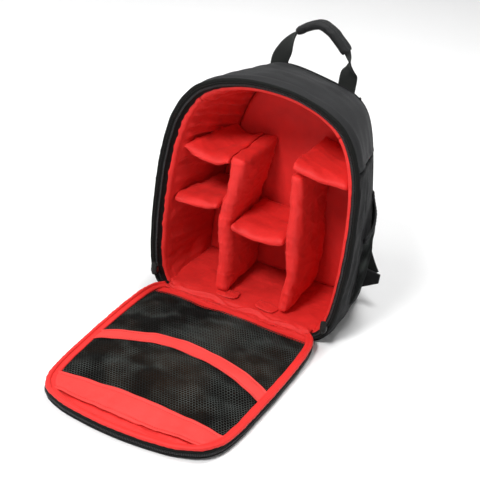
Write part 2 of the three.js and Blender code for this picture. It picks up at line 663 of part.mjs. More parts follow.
function buildShoulderStraps() {
  for (const [name, side] of [["left", -1], ["right", 1]]) {
    const course = new THREE.CatmullRomCurve3(STRAP_COURSE.map((row) => strapPoint(side, row)));
    const steps = 16;
    const stations = range(0, steps).map((i) => {
      const [t, step] = [i / steps, 0.5 / steps];
      const frame = strapFrame(
        course.getPoint(t), course.getPoint(Math.min(1, t + step)), course.getPoint(Math.max(0, t - step)));
      const wide = along(STRAP_COURSE, ["wide"], t).x;
      return { ...frame, width: wide * STRAP_WIDTH, thickness: STRAP_THICKNESS };
    });
    // Below the pad come the ladder buckle and the webbing to the wing at the bottom corner.
    const end = stations[steps];
    const tipY = backY(WING.tipHeight) + OUTSIDE + SEAM_GAP * 4 + WING.wall + WEBBING_WALL / 2;
    const tip = vec(side * (WING.reach - WEBBING_WIDTH / 2), tipY, WING.tipHeight);
    const reach = tip.clone().sub(end.middle);
    const frame = strapFrame(end.middle, tip, end.middle);
    Object.assign(end, frame);
    addMesh("strap_pad_" + name, ribbon(stations, PADDED_SECTION), FABRIC_BLACK);
    const at = (distance, off = 0) => ({
      ...frame,
      middle: end.middle.clone().addScaledVector(reach.clone().normalize(), distance).addScaledVector(frame.normal, off),
      width: WEBBING_WIDTH,
      thickness: WEBBING_WALL,
    });
    const start = SEAM_GAP * 2;
    const { width, length, thickness, bar, gap } = BUCKLE;
    const shape = new THREE.Shape();
    const corner = bar / 2;
    shape.moveTo(-width / 2 + corner, 0).lineTo(width / 2 - corner, 0).lineTo(width / 2, corner);
    shape.lineTo(width / 2, length - corner).lineTo(width / 2 - corner, length);
    shape.lineTo(-width / 2 + corner, length).lineTo(-width / 2, length - corner).lineTo(-width / 2, corner).closePath();
    for (const low of [bar, bar * 2 + gap]) {
      const slot = new THREE.Path();
      const half = width / 2 - bar;
      slot.moveTo(-half, low).lineTo(-half, low + gap).lineTo(half, low + gap).lineTo(half, low).closePath();
      shape.holes.push(slot);
    }
    const buckle = new THREE.ExtrudeGeometry(shape, { depth: thickness, bevelEnabled: false });
    buckle.translate(0, 0, -thickness / 2);
    const along3 = reach.clone().normalize();
    const turned = new THREE.Matrix4().makeBasis(frame.across, along3, frame.across.clone().cross(along3));
    buckle.applyMatrix4(turned.setPosition(at(start).middle));
    addMesh("ladder_buckle_" + name, buckle, PLASTIC_BLACK);

    // The webbing comes up under the buckle, through its lower slot and back over the bar as a free tail.
    const slotMiddle = start + bar * 2 + gap * 1.5;
    const clear = thickness / 2 + SEAM_GAP + WEBBING_WALL / 2;
    const under = frame.normal.y < 0 ? 1 : -1;
    const web = [
      { ...at(slotMiddle, -under * clear) },
      { ...at(start + length, -under * clear) },
      { ...at(start + length + gap * 2, -under * clear * 0.4) },
      { ...at(reach.length() * 0.85), middle: end.middle.clone().lerp(tip, 0.85) },
      { ...at(reach.length()), middle: tip.clone() },
    ];
    addMesh("strap_webbing_" + name, ribbon(web, FLAT_SECTION), WEBBING_BLACK);

    const wing = new THREE.Shape();
    wing.moveTo(side * WING.root, WING.foot).lineTo(side * WING.reach, WING.tipHeight - WING.tipHalf);
    wing.lineTo(side * WING.reach, WING.tipHeight + WING.tipHalf).lineTo(side * WING.root, WING.top).closePath();
    const outline = wing.getPoints().slice(0, 4);
    const loop = (off) => outline.map((p) => vec(p.x, backY(p.y) + OUTSIDE + off, p.y));
    addMesh("strap_wing_" + name, plateBetween(loop(SEAM_GAP), loop(SEAM_GAP + WING.wall), seenFromFront), WEBBING_BLACK);
  }
}

function buildHandle() {
  const off = OUTSIDE + SEAM_GAP * 2 + WEBBING_WALL / 2;
  const handleY = backY(BACK_HEIGHT) + off;
  const point = ({ across, rise }) => {
    const z = BACK_HEIGHT + rise * HANDLE_RISE;
    const y = rise < 0 ? backY(z) + off : handleY;
    return vec(across * BACK_HALF_WIDTH, y, z);
  };
  const leg = (table) => {
    const points = table.map(point);
    return table.map(({ turn, wide }, i) => {
      const run = points[Math.min(i + 1, table.length - 1)].clone().sub(points[Math.max(i - 1, 0)]).normalize();
      const flat = run.clone().cross(vec(0, 1, 0)).normalize();
      const across = flat.multiplyScalar(Math.cos((turn * Math.PI) / 2))
        .addScaledVector(vec(0, 1, 0), Math.sin((turn * Math.PI) / 2)).normalize();
      const normal = run.clone().cross(across).normalize();
      return { middle: points[i], across, normal, width: wide * HANDLE_WEBBING_WIDTH, thickness: WEBBING_WALL };
    });
  };
  addMesh("handle_leg_left", ribbon(leg(HANDLE_LEFT_LEG), FLAT_SECTION), WEBBING_BLACK);
  addMesh("handle_leg_right", ribbon(leg(HANDLE_RIGHT_LEG), FLAT_SECTION), WEBBING_BLACK);

  const course = new THREE.CatmullRomCurve3(HANDLE_GRIP.map(point));
  const steps = 12;
  const grip = range(0, steps).map((i) => {
    const run = course.getTangent(i / steps);
    const across = vec(0, 1, 0);
    return {
      middle: course.getPoint(i / steps), across, normal: run.clone().cross(across).normalize(),
      width: GRIP_WIDTH, thickness: GRIP_THICKNESS,
    };
  });
  addMesh("handle_grip", ribbon(grip, PADDED_SECTION), FABRIC_BLACK);
}

buildShell();
buildLining();
buildZip();
buildLid();
buildHinge();
buildDividers();
buildSidePockets();
buildBackPad();
buildShoulderStraps();
buildHandle();

export default bag;
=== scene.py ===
"""Looks of a camera backpack whose front panel is unzipped and laid flat before it."""

import math

import bmesh
import bpy
import numpy as np
from bpy.props import FloatProperty, FloatVectorProperty, PointerProperty
from mathutils import Matrix, Vector


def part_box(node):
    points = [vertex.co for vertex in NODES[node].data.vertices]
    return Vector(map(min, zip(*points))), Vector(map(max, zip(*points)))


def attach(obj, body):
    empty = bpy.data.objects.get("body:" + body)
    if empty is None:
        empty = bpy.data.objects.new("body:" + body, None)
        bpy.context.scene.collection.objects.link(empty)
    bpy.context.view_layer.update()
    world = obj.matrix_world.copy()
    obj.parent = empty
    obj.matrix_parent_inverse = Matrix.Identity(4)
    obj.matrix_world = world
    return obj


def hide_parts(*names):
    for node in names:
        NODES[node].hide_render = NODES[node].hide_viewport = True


bl_info = {
    "name": "Camera Backpack",
    "version": (1, 0, 0),
    "blender": (4, 5, 0),
    "location": "View3D > Sidebar > Backpack",
    "description": "Builds the padded backpack's cloth, nets, straps and stage round its frame",
    "category": "Object",
}

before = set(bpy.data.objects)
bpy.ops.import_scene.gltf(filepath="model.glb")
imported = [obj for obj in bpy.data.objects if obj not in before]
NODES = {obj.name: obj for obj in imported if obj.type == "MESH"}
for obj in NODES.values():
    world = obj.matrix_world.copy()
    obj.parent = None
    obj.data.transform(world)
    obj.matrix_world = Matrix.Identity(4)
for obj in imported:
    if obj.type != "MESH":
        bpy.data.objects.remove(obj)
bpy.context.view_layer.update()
MM = 0.001

# The bag as its solids have it, in millimetres. y = 0 is the middle of the base's depth.
FRONT_HALF, FRONT_HIGH = 137.0, 313.0
BACK_HALF, BACK_HIGH = 120.0, 293.0
DEPTH = 120.0
FRONT_LEAN, BACK_LEAN = 0.06, 0.08
SIDE_SWELL = 4.0
SHOULDER, SAG = 5.0, 6.0
RIM_REACH = 8.0
SHELL_WALL = 2.5
LINING_INSET, LINING_WALL = 3.5, 13.0
LINING_BASE, FLOOR_TOP = 2.8, 10.8
BACK_FACE = 8.6  # front of the lining's back, before the back edge of the walls
HINGE = 14.0
LID_HALF, LID_LONG = 120.0, 296.0
PAD_BASE, PAD_EDGE, PAD_CROWN, PAD_INSET = 2.8, 7.0, 14.0, 2.8
LID_BORDER = 5.0
BACK_CLOTH = 2.8  # from the back's plane to the face that the straps, wings and handle are sewn to
WEB_WALL = 2.0
SEAM_GAP = 0.012  # half the gap between two panels, in places
INSIDE = np.array([0, 20, 120])  # a point in the middle of the compartment

OUTLINE = [
    (0.78, 0), (0.885, 0.035), (0.955, 0.115), (0.992, 0.27), (1, 0.43), (0.985, 0.59),
    (0.942, 0.72), (0.872, 0.815), (0.755, 0.895), (0.56, 0.953), (0.3, 0.988), (0, 1),
]
BACK_OUTLINE = [
    (0.955, 0), (0.995, 0.04), (1.01, 0.12), (1, 0.27), (0.962, 0.42), (0.903, 0.56),
    (0.85, 0.68), (0.785, 0.79), (0.7, 0.875), (0.55, 0.94), (0.3, 0.985), (0, 1),
]
LID_OUTLINE = [
    (0.87, 0), (0.935, 0.035), (0.975, 0.09), (0.997, 0.2), (1, 0.42), (0.988, 0.6),
    (0.97, 0.75), (0.93, 0.86), (0.84, 0.925), (0.64, 0.968), (0.35, 0.991), (0, 1),
]
LAST = 22  # places along an outline run from 0 at the left foot to 22 at the right one
SEAM, LINING_SEAM = 6.3, 8.0


def lerp(a, b, t):
    return a + (b - a) * t


def smooth(low, high, value):
    t = np.clip((value - low) / (high - low), 0, 1)
    return t * t * (3 - 2 * t)


def bell(distance, width):
    return np.exp(-((distance / width) ** 2))


def curve_through(rows):
    """A smooth curve through a table's rows, whose places are counted in rows."""
    table = np.asarray(rows, float)
    table = np.vstack([2 * table[0] - table[1], table, 2 * table[-1] - table[-2]])

    def at(place):
        place = np.asarray(place, float)
        low = np.clip(np.floor(place).astype(int), 0, len(rows) - 2)
        w = np.clip(place - low, 0, 1)[..., None]
        p0, p1, p2, p3 = (table[low + k] for k in range(4))
        pairs = (p0, p1), (p1, p2), (p2, p3)
        d0, d1, d2 = (np.maximum(((b - a) ** 2).sum(-1) ** 0.25, 1e-4)[..., None] for a, b in pairs)
        m1 = ((p1 - p0) / d0 - (p2 - p0) / (d0 + d1) + (p2 - p1) / d1) * d1
        m2 = ((p2 - p1) / d1 - (p3 - p1) / (d1 + d2) + (p3 - p2) / d2) * d1
        return p1 + m1 * w + (3 * (p2 - p1) - 2 * m1 - m2) * w**2 + (2 * (p1 - p2) + m1 + m2) * w**3

    return at


def whole(table):
    return [(-across, up) for across, up in table] + [(across, up) for across, up in table[-2::-1]]


front_at = curve_through(whole(OUTLINE))
back_at = curve_through(whole(BACK_OUTLINE))
lid_at = curve_through(whole(LID_OUTLINE))


def body(place, t, inset=0.0, floor=0.0):
    """Points of a layer of the bag's wall. place runs along the outline, t from the opening to the back.

    The back of the top is fuller at its left shoulder and sags between the handle's feet.
    """
    place, t, inset = np.broadcast_arrays(np.asarray(place, float), t, inset)
    front, back = front_at(place), back_at(place)
    grown = SIDE_SWELL * 4 * t * (1 - t) - inset
    x = lerp(front[..., 0] * (FRONT_HALF + grown), back[..., 0] * (BACK_HALF + grown), t)
    front_z, back_z = (high + grown - floor for high in (FRONT_HIGH, BACK_HIGH))
    z = floor + lerp(front[..., 1] * front_z, back[..., 1] * back_z, t)
    y = lerp(FRONT_LEAN * z - RIM_REACH, DEPTH + BACK_LEAN * z, t) - DEPTH / 2
    sag = SHOULDER * bell(place - 9.5, 0.9) - SAG * bell(place - 11.8, 1.2)
    return np.stack([x, y, z + sag * smooth(0.3, 1, t)], -1)


def lid(place, inset=0.0, z=0.0):
    """Points of the front panel's outline as it lies on the floor."""
    share = lid_at(place)
    x = share[..., 0] * (LID_HALF - inset)
    y = -HINGE - share[..., 1] * (LID_LONG - inset) - DEPTH / 2
    return np.stack([x, y, x * 0 + z], -1)


def lid_half(share, inset=0.0):
    """Half width of the front panel at a share of its length."""
    rows = lid_at(np.linspace(LAST / 2, LAST, 240))
    half = np.interp(share * LID_LONG / (LID_LONG - inset), rows[::-1, 1], rows[::-1, 0]) * (LID_HALF - inset)
    return np.maximum(half, 1.0)


def crown(share):
    """How full the front panel's padding is at a share of its length."""
    return np.interp(share, [0, 0.15, 0.48, 0.7, 0.86, 1], [0, 0.35, 1, 0.75, 0.3, 0])


def pad_top(x, share):
    """Height of the front panel's padding."""
    across = np.clip(x / lid_half(share, PAD_INSET), -1, 1)
    return PAD_BASE + PAD_EDGE + PAD_CROWN * crown(share) * (1 - across**2)


def lid_y(share):
    return -DEPTH / 2 - HINGE - share * LID_LONG


def lid_share(y):
    return (-DEPTH / 2 - HINGE - y) / LID_LONG


def back_y(z):
    return DEPTH / 2 + BACK_LEAN * z


def front_y(z):
    return FRONT_LEAN * z - DEPTH / 2


def ripple(x, y, size, seed, stretch=1.0):
    """Soft uneven waves of about one size in millimetres, from -1 to 1."""
    rng = np.random.default_rng(seed)
    total = 0.0
    for k in range(9):
        turn = rng.uniform(0, math.pi)
        scale = 2 * math.pi / size * rng.uniform(0.6, 1.5)
        along = x * math.cos(turn) / stretch + y * math.sin(turn)
        total = total + np.sin(along * scale + rng.uniform(0, 7))
    return total / 4.2


def crease(x, y, size, seed, stretch=1.0):
    """Sharp-edged cloth folds, from 0 between the folds to 1 on their ridges."""
    return np.clip(1 - np.abs(ripple(x, y, size, seed, stretch)) * 1.9, 0, 1) ** 2


def normals_of(grid):
    """Unit normals of a grid of points."""
    return unit(np.cross(np.gradient(grid, axis=0), np.gradient(grid, axis=1)))


def unit(vectors):
    return vectors / np.maximum(np.linalg.norm(vectors, axis=-1, keepdims=True), 1e-9)


def normals_from(point, grid, sample):
    """Unit normals of a grid, all turned away from a point as the sample's is."""
    normal = normals_of(grid)
    return -normal if normal[sample] @ (grid[sample] - point) < 0 else normal


def lengths(points):
    """Running length along a line of points."""
    return np.concatenate([[0], np.cumsum(np.linalg.norm(np.diff(points, axis=0), axis=1))])


def headings(points):
    """Direction of a line at each of its points."""
    return unit(np.gradient(points, axis=0))


def circle(count):
    return np.linspace(0, 2 * math.pi, count, endpoint=False)


def rounded(turn, wide_power, high_power=1.0):
    """A rounded section: the smaller the powers, the squarer it is."""
    u = np.sign(np.cos(turn)) * np.abs(np.cos(turn)) ** wide_power
    return u, np.sign(np.sin(turn)) * np.abs(np.sin(turn)) ** high_power


def corners_of(node):
    """A node's lowest and highest corners in millimetres."""
    return (np.array(corner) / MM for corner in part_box(node))


def at_height(points, height):
    """The same points at other heights."""
    moved = points.copy()
    moved[..., 2] = height
    return moved


# Meshes


def linked(name, data):
    """A new object in the scene."""
    made = bpy.data.objects.new(name, data)
    bpy.context.scene.collection.objects.link(made)
    return made


def make_piece(name, points, faces, nodes, finish, uv=None):
    """A closed piece from points in millimetres, riding on the frame in place of its solids."""
    mesh = bpy.data.meshes.new(name)
    points = np.array(points, float).reshape(-1, 3)
    points[:, 2] = np.maximum(points[:, 2], 0)
    mesh.from_pydata((points * MM).tolist(), [], [list(map(int, f)) for f in faces])
    if uv is not None:
        layer = mesh.uv_layers.new(name="cloth")
        corners = np.zeros(len(mesh.loops), int)
        mesh.loops.foreach_get("vertex_index", corners)
        layer.data.foreach_set("uv", (np.asarray(uv).reshape(-1, 2) * MM)[corners].ravel())
    piece = linked(name, mesh)
    tidy(piece)
    return settle(piece, nodes, finish)


def tidy(piece):
    """Turns all faces outwards and shades them smooth."""
    form = bmesh.new()
    form.from_mesh(piece.data)
    bmesh.ops.recalc_face_normals(form, faces=form.faces)
    if form.calc_volume(signed=True) < 0:
        bmesh.ops.reverse_faces(form, faces=form.faces)
    for face in form.faces:
        face.smooth = True
    form.to_mesh(piece.data)
    form.free()


def settle(piece, nodes, finish):
    """Gives a piece its finish, and its place in the frame."""
    for material in finish if isinstance(finish, (list, tuple)) else [finish]:
        piece.data.materials.append(material)
    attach(piece, "root")
    if nodes:
        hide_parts(*([nodes] if isinstance(nodes, str) else nodes))
    return piece


def skin_faces(rows, columns, closed=True, first=0):
    """Quads between rows of points."""
    index = np.arange(rows * columns).reshape(rows, columns) + first
    if closed:
        index = np.concatenate([index, index[:, :1]], 1)
    quads = np.stack([index[:-1, :-1], index[:-1, 1:], index[1:, 1:], index[1:, :-1]], -1)
    return quads.reshape(-1, 4).tolist()


def ladder(ring):
    """Quads that close a flat ring whose first half runs one way and whose second half runs back."""
    half = len(ring) // 2
    back = ring[::-1]
    return [[ring[k], ring[k + 1], back[k + 1], back[k]] for k in range(half - 1)]


def tube(name, rings, nodes, finish):
    """A closed skin over rings of points, with both ends closed."""
    rows, columns = rings.shape[:2]
    faces = skin_faces(rows, columns)
    faces += ladder(list(range(columns)))
    faces += ladder([(rows - 1) * columns + k for k in range(columns)])
    along = lengths(rings.mean(1))
    around = lengths(rings[rows // 2])
    uv = np.stack(np.meshgrid(along, around, indexing="ij"), -1)
    return make_piece(name, rings, faces, nodes, finish, uv)


EDGE_REACH = 0.12  # of a column, by which a sheet's edge is rounded


def sheet_rings(top, bottom):
    """Rings over an upper and a lower grid of points, with a rounded edge between them."""
    middle = (top + bottom) / 2
    first = middle[:, :1] + (middle[:, :1] - middle[:, 1:2]) * EDGE_REACH
    last = middle[:, -1:] + (middle[:, -1:] - middle[:, -2:-1]) * EDGE_REACH
    return np.concatenate([first, top, last, bottom[:, ::-1]], 1)


def join_parts(parts):
    """Several point and face lists as one."""
    points, faces, count = [], [], 0
    for part, part_faces in parts:
        points.append(part)
        faces += [[i + count for i in face] for face in part_faces]
        count += len(part)
    return np.vstack(points), faces


BEAD_FACES = skin_faces(4, 6) + [list(range(6)), list(range(18, 24))]


def bead(middle, along, up, size):
    """A small rounded lozenge: one stitch or one zip tooth."""
    along = along / np.linalg.norm(along)
    across = np.cross(along, up)
    across /= max(np.linalg.norm(across), 1e-9)
    up = np.cross(across, along)
    length, width, height = size
    points = []
    for a, scale in ((-1, 0.35), (-0.6, 1), (0.6, 1), (1, 0.35)):
        for turn in range(6):
            angle = turn * math.pi / 3
            points.append(
                middle + along * a * length / 2
                + across * math.cos(angle) * width / 2 * scale
                + up * math.sin(angle) * height / 2 * scale
            )
    return np.array(points), BEAD_FACES


def beads_along(line, ups, pitch, size, turned=False):
    """Beads at an even pitch along a line of points."""
    run = lengths(line)
    parts = []
    for at in np.arange(pitch / 2, run[-1] - pitch / 2, pitch):
        middle = np.array([np.interp(at, run, line[:, k]) for k in range(3)])
        ahead = np.array([np.interp(at + 0.5, run, line[:, k]) for k in range(3)])
        up = np.array([np.interp(at, run, ups[:, k]) for k in range(3)])
        along = ahead - middle
        if turned:
            along = np.cross(along, up)
        parts.append(bead(middle, along, up, size))
    return join_parts(parts)


def stitches(name, lines, thread="black_thread", pitch=3.2):
    """Sewn lines. Each is its points and the directions away from the cloth."""
    parts = []
    for line, ups in lines:
        ups = np.broadcast_to(np.asarray(ups, float), line.shape)
        parts.append(beads_along(line, ups, pitch, (pitch * 0.72, 0.6, 0.5)))
    points, faces = join_parts(parts)
    return make_piece(name, points, faces, None, finish(thread))


def applied(piece, modifier_type, **settings):
    """Adds a modifier and applies it."""
    modifier = piece.modifiers.new(modifier_type.lower(), modifier_type)
    for key, value in settings.items():
        setattr(modifier, key, value)
    apply_modifiers(piece)


def evaluated(piece):
    return piece.evaluated_get(bpy.context.evaluated_depsgraph_get())


def apply_modifiers(piece):
    shaped = bpy.data.meshes.new_from_object(evaluated(piece))
    piece.modifiers.clear()
    old, piece.data = piece.data, shaped
    bpy.data.meshes.remove(old)


def get_points(piece):
    points = np.zeros(len(piece.data.vertices) * 3)
    piece.data.vertices.foreach_get("co", points)
    return points.reshape(-1, 3) / MM


def set_points(piece, points):
    piece.data.vertices.foreach_set("co", (points * MM).ravel())
    piece.data.update()


def point_normals(piece):
    found = np.zeros(len(piece.data.vertices) * 3)
    piece.data.vertices.foreach_get("normal", found)
    return found.reshape(-1, 3)


def copied(name, node):
    """A new object with a copy of a solid's mesh."""
    mesh = NODES[node].data.copy()
    mesh.name = name
    mesh.materials.clear()
    piece = linked(name, mesh)
    form = bmesh.new()
    form.from_mesh(mesh)
    bmesh.ops.remove_doubles(form, verts=form.verts, dist=1e-6)
    bmesh.ops.recalc_face_normals(form, faces=form.faces)
    form.to_mesh(mesh)
    form.free()
    return piece


PRESSURE, CLOTH_STEPS = 4.0, 20


def puffed(name, node, finish, slot, voxel, shrink, cap, fill, growth):
    """A padded piece: its solid remeshed, blown up as cloth and capped, then smoothed once."""
    piece = copied(name, node)
    applied(piece, "REMESH", mode="VOXEL", voxel_size=voxel * MM)
    tidy(piece)
    start = get_points(piece) - point_normals(piece) * shrink
    set_points(piece, start)
    cloth = piece.modifiers.new("cloth", "CLOTH")
    cloth.settings.quality = 5
    cloth.settings.use_pressure = True
    cloth.settings.uniform_pressure_force = PRESSURE
    cloth.settings.tension_stiffness = 20
    cloth.settings.compression_stiffness = 12
    cloth.settings.bending_stiffness = 0.6
    cloth.settings.effector_weights.gravity = 0
    for step in range(CLOTH_STEPS):
        bpy.context.scene.frame_set(step + 1)
    moved = np.zeros(len(start) * 3)
    evaluated(piece).data.vertices.foreach_get("co", moved)
    piece.modifiers.clear()
    bpy.context.scene.frame_set(1)
    shift = moved.reshape(-1, 3) / MM - start
    shift -= shift.mean(0)
    far = np.maximum(np.linalg.norm(shift, axis=1, keepdims=True), 1e-9)
    set_points(piece, start + shift * np.minimum(1, cap / far) * growth)
    applied(piece, "SUBSURF", levels=1, render_levels=1)
    tidy(piece)
    settle(piece, node, finish)
    return piece


def displaced(piece, amount):
    """Moves a piece's points along their normals. amount is a function of the points."""
    points = get_points(piece)
    set_points(piece, points + point_normals(piece) * np.asarray(amount(points))[:, None])


# Materials


class Value:
    """A number, colour or vector that a shader node gives."""

    def __init__(self, tree, socket):
        self.tree = tree
        self.socket = socket

    def math(self, operation, *others, flip=False):
        values = (self, *others)
        if flip:
            values = (others[0], self)
        return self.tree.add("ShaderNodeMath", {"operation": operation}, dict(enumerate(values)))

    def __add__(self, other):
        return self.math("ADD", other)

    __radd__ = __add__

    def __mul__(self, other):
        return self.math("MULTIPLY", other)

    __rmul__ = __mul__

    def __sub__(self, other):
        return self.math("SUBTRACT", other)

    def __rsub__(self, other):
        return self.math("SUBTRACT", other, flip=True)

    def wave(self, pitch):
        """A sine from 0 to 1 that repeats after a pitch in metres."""
        return (self * (2 * math.pi / pitch)).math("SINE") * 0.5 + 0.5

    def clamped(self):
        return self.math("MAXIMUM", 0.0).math("MINIMUM", 1.0)


class Tree:
    """The nodes of one material, with a Principled shader at their end."""

    def __init__(self, name, **constants):
        self.material = bpy.data.materials.new(name)
        self.material.use_nodes = True
        self.nodes = self.material.node_tree.nodes
        self.links = self.material.node_tree.links
        self.nodes.clear()
        self.shader = self.nodes.new("ShaderNodeBsdfPrincipled")
        output = self.nodes.new("ShaderNodeOutputMaterial")
        self.links.new(self.shader.outputs[0], output.inputs[0])
        for key, value in constants.items():
            self.shader.inputs[key.replace("_", " ")].default_value = value

    def add(self, kind, settings=None, inputs=None, output=0):
        """Any node: its settings first, then the values or links of its sockets."""
        node = self.nodes.new(kind)
        for key, value in (settings or {}).items():
            setattr(node, key, value)
        for key, value in (inputs or {}).items():
            self.plug(node.inputs[key], value)
        return Value(self, node.outputs[output])

    def plug(self, socket, value):
        """Links a value to a socket, or sets it there."""
        if isinstance(value, Value):
            self.links.new(value.socket, socket)
        else:
            socket.default_value = value

    def place(self):
        return self.add("ShaderNodeTexCoord", output="Object")

    def cloth_place(self):
        return self.add("ShaderNodeUVMap", {"uv_map": "cloth"})

    def split(self, vector):
        parts = self.add("ShaderNodeSeparateXYZ", inputs={0: vector})
        return [Value(self, parts.socket.node.outputs[k]) for k in range(3)]

    def noise(self, where, size, detail=3.0, roughness=0.55):
        """Cloudy noise whose marks are about size metres."""
        return self.add(
            "ShaderNodeTexNoise", {"noise_dimensions": "3D"},
            {"Vector": where, "Scale": 1 / size, "Detail": detail, "Roughness": roughness},
        )

    def mix(self, low, high, factor):
        """From one colour to another."""
        return self.add(
            "ShaderNodeMix", {"data_type": "RGBA"},
            {0: factor, 6: low, 7: high}, output=2,
        )

    def bump(self, height, distance, strength, normal=None):
        inputs = {"Height": height, "Distance": distance, "Strength": strength}
        if normal is not None:
            inputs["Normal"] = normal
        return self.add("ShaderNodeBump", inputs=inputs)

    def surface(self, **links):
        """The finished material: what varies on its shader's sockets."""
        for key, value in links.items():
            self.plug(self.shader.inputs[key.replace("_", " ")], value)
        return self.material


DARK_SHEEN = (0.11, 0.11, 0.12, 1.0)
RED_SHEEN = (1.0, 0.25, 0.2, 1.0)


def rgba(colour, scale=1.0):
    return (colour[0] * scale, colour[1] * scale, colour[2] * scale, 1.0)


def weave_on(tree, pitch, by_cloth=True):
    """Heights of a plain weave: threads over and under at a pitch in metres."""
    turn = 2 * math.pi / pitch
    sine = lambda value: (value * turn).math("SINE")
    if by_cloth:
        u, v, _ = tree.split(tree.cloth_place())
    else:
        x, y, z = tree.split(tree.place())
        u, v = x + y * 0.5, z + y * 0.7
    return sine(u) * sine(v) * 0.5 + 0.5


def woven_shell(colours, name="woven_shell", gloss=1.0):
    """Charcoal polyester: a plain weave with a soft sheen and faint fading. At a lower gloss it is the duller
    copy that paints shade on the side panels.
    """
    shine = {"Specular_IOR_Level": 0.25 * gloss, "Sheen_Weight": 0.2 * gloss}
    tree = Tree(name, Sheen_Roughness=0.45, Sheen_Tint=DARK_SHEEN, **shine)
    where = tree.place()
    cloud = tree.noise(where, 0.055, 4)
    fine = tree.noise(where, 0.0022, 2)
    weave = weave_on(tree, 0.0011)
    shade = (cloud * 0.7 + fine * 0.3) * 1.5 - 0.25
    colour = tree.mix(rgba(colours.shell, 0.72), rgba(colours.shell, 1.3), shade.clamped())
    colour = tree.mix(colour, rgba(colours.shell, 0.5), (1 - weave) * 0.35)
    crumple = tree.noise(where, 0.016, 4, 0.6)
    first = tree.bump(weave, 0.00012, 0.5)
    second = tree.bump(crumple, 0.0011, 0.6, first)
    return tree.surface(Base_Color=colour, Roughness=0.62 + cloud * 0.16, Normal=second)


def red_lining(colours, by_cloth=False, name="red_lining", red=None):
    """Thin red nylon over foam, softly crumpled, with a satin sheen."""
    red = red or colours.lining
    shine = {"Specular_IOR_Level": 0.3, "Sheen_Weight": 0.12}
    tree = Tree(name, Sheen_Roughness=0.5, Sheen_Tint=RED_SHEEN, **shine)
    where = tree.place()
    cloud = tree.noise(where, 0.03, 3)
    weave = weave_on(tree, 0.0007, by_cloth)
    colour = tree.mix(rgba(red, 0.82), rgba(red, 1.1), (cloud * 1.6 - 0.3).clamped())
    colour = tree.mix(colour, rgba(red, 0.7), (1 - weave) * 0.25)
    crumple = tree.noise(where, 0.011, 4, 0.55)
    folds = tree.noise(where, 0.035, 2, 0.5)
    first = tree.bump(weave, 0.00006, 0.4)
    second = tree.bump(crumple + folds * 1.4, 0.0012, 0.6, first)
    return tree.surface(Base_Color=colour, Roughness=0.55 + cloud * 0.14, Normal=second)


def pocket_backing(colours):
    """Dark cloth behind the nets, with painted light and shade in cloudy patches."""
    tree = Tree("pocket_backing", Specular_IOR_Level=0.1)
    cloud = tree.noise(tree.place(), 0.07, 2)
    # painted light and shade: cloudy patches run from a deep painted shade up to the cloth's own colour
    painted_light = (cloud * 4 - 1.7).clamped()
    colour = tree.mix(rgba(colours.backing, 0.12), rgba(colours.backing, 1.0), painted_light)
    bump = tree.bump(tree.noise(tree.place(), 0.012, 4), 0.001, 0.6)
    return tree.surface(Base_Color=colour, Roughness=0.8 + cloud * 0.1, Normal=bump)


def knitted_net(colours):
    """Dull knitted strands, with painted light and shade in cloudy patches."""
    shine = {"Specular_IOR_Level": 0.15, "Sheen_Weight": 0.1}
    tree = Tree("knitted_net", Sheen_Roughness=0.4, Sheen_Tint=DARK_SHEEN, **shine)
    where = tree.place()
    knit = tree.noise(where, 0.0006, 2)
    cloud = tree.noise(where, 0.05, 2)
    # painted light and shade: the strands run from a painted shade at 0.3 of their colour to a painted
    # highlight at 2.2 of it
    painted_light = (cloud * 5 - 2.2 + knit * 0.3).clamped()
    colour = tree.mix(rgba(colours.net, 0.3), rgba(colours.net, 2.2), painted_light)
    bump = tree.bump(knit, 0.0002, 0.7)
    return tree.surface(Base_Color=colour, Roughness=0.7 + knit * 0.15, Normal=bump)


def ribbed_webbing(colours, name="ribbed_webbing", rib=0.0016, shade=1.0):
    """Woven tape: ribs across it and fine threads along it."""
    shine = {"Specular_IOR_Level": 0.25 * shade, "Sheen_Weight": 0.2 * shade}
    tree = Tree(name, Sheen_Roughness=0.4, Sheen_Tint=DARK_SHEEN, **shine)
    u, v, _ = tree.split(tree.cloth_place())
    wear = tree.noise(tree.place(), 0.02, 3)
    weave = u.wave(rib) * 0.65 + v.wave(rib * 0.7) * 0.35
    tone = (weave * 0.6 + wear * 0.5 - 0.1).clamped()
    dark, pale = (rgba(colours.webbing, scale * shade) for scale in (0.55, 1.45))
    bump = tree.bump(weave, 0.0003, 0.7)
    return tree.surface(Base_Color=tree.mix(dark, pale, tone), Roughness=0.66 + wear * 0.15, Normal=bump)


MESH_CELL = 0.0034  # metres


def air_mesh(colours):
    """Spacer mesh with round cells over foam, with painted shade in the sunken cells."""
    tree = Tree("air_mesh", Specular_IOR_Level=0.2, Sheen_Weight=0.2, Sheen_Tint=DARK_SHEEN)
    where = tree.place()
    sockets = {"Vector": where, "Scale": 1 / MESH_CELL, "Randomness": 0.25}
    cells = tree.add("ShaderNodeTexVoronoi", {"feature": "F1"}, sockets)
    open_cell = (1.35 - cells * 2.4).clamped()
    cloud = tree.noise(where, 0.03, 3)
    # painted shade: the open cells, sunken by the bump, are darker than the strands round them
    colour = tree.mix(rgba(colours.webbing, 1.3), rgba(colours.webbing, 0.35), open_cell)
    colour = tree.mix(colour, rgba(colours.webbing, 0.7), cloud * 0.4)
    bump = tree.bump(1 - open_cell, 0.0007, 0.8)
    return tree.surface(Base_Color=colour, Roughness=0.78 + cloud * 0.1, Normal=bump)


def moulded_plastic(colours):
    """Black moulded plastic with a fine spark-eroded grain."""
    tree = Tree("moulded_plastic", Specular_IOR_Level=0.5)
    where = tree.place()
    grain = tree.noise(where, 0.0007, 2)
    smudge = tree.noise(where, 0.012, 3)
    colour = tree.mix(rgba(colours.plastic, 0.8), rgba(colours.plastic, 1.5), smudge)
    bump = tree.bump(grain, 0.00008, 0.5)
    return tree.surface(Base_Color=colour, Roughness=0.3 + smudge * 0.2, Normal=bump)


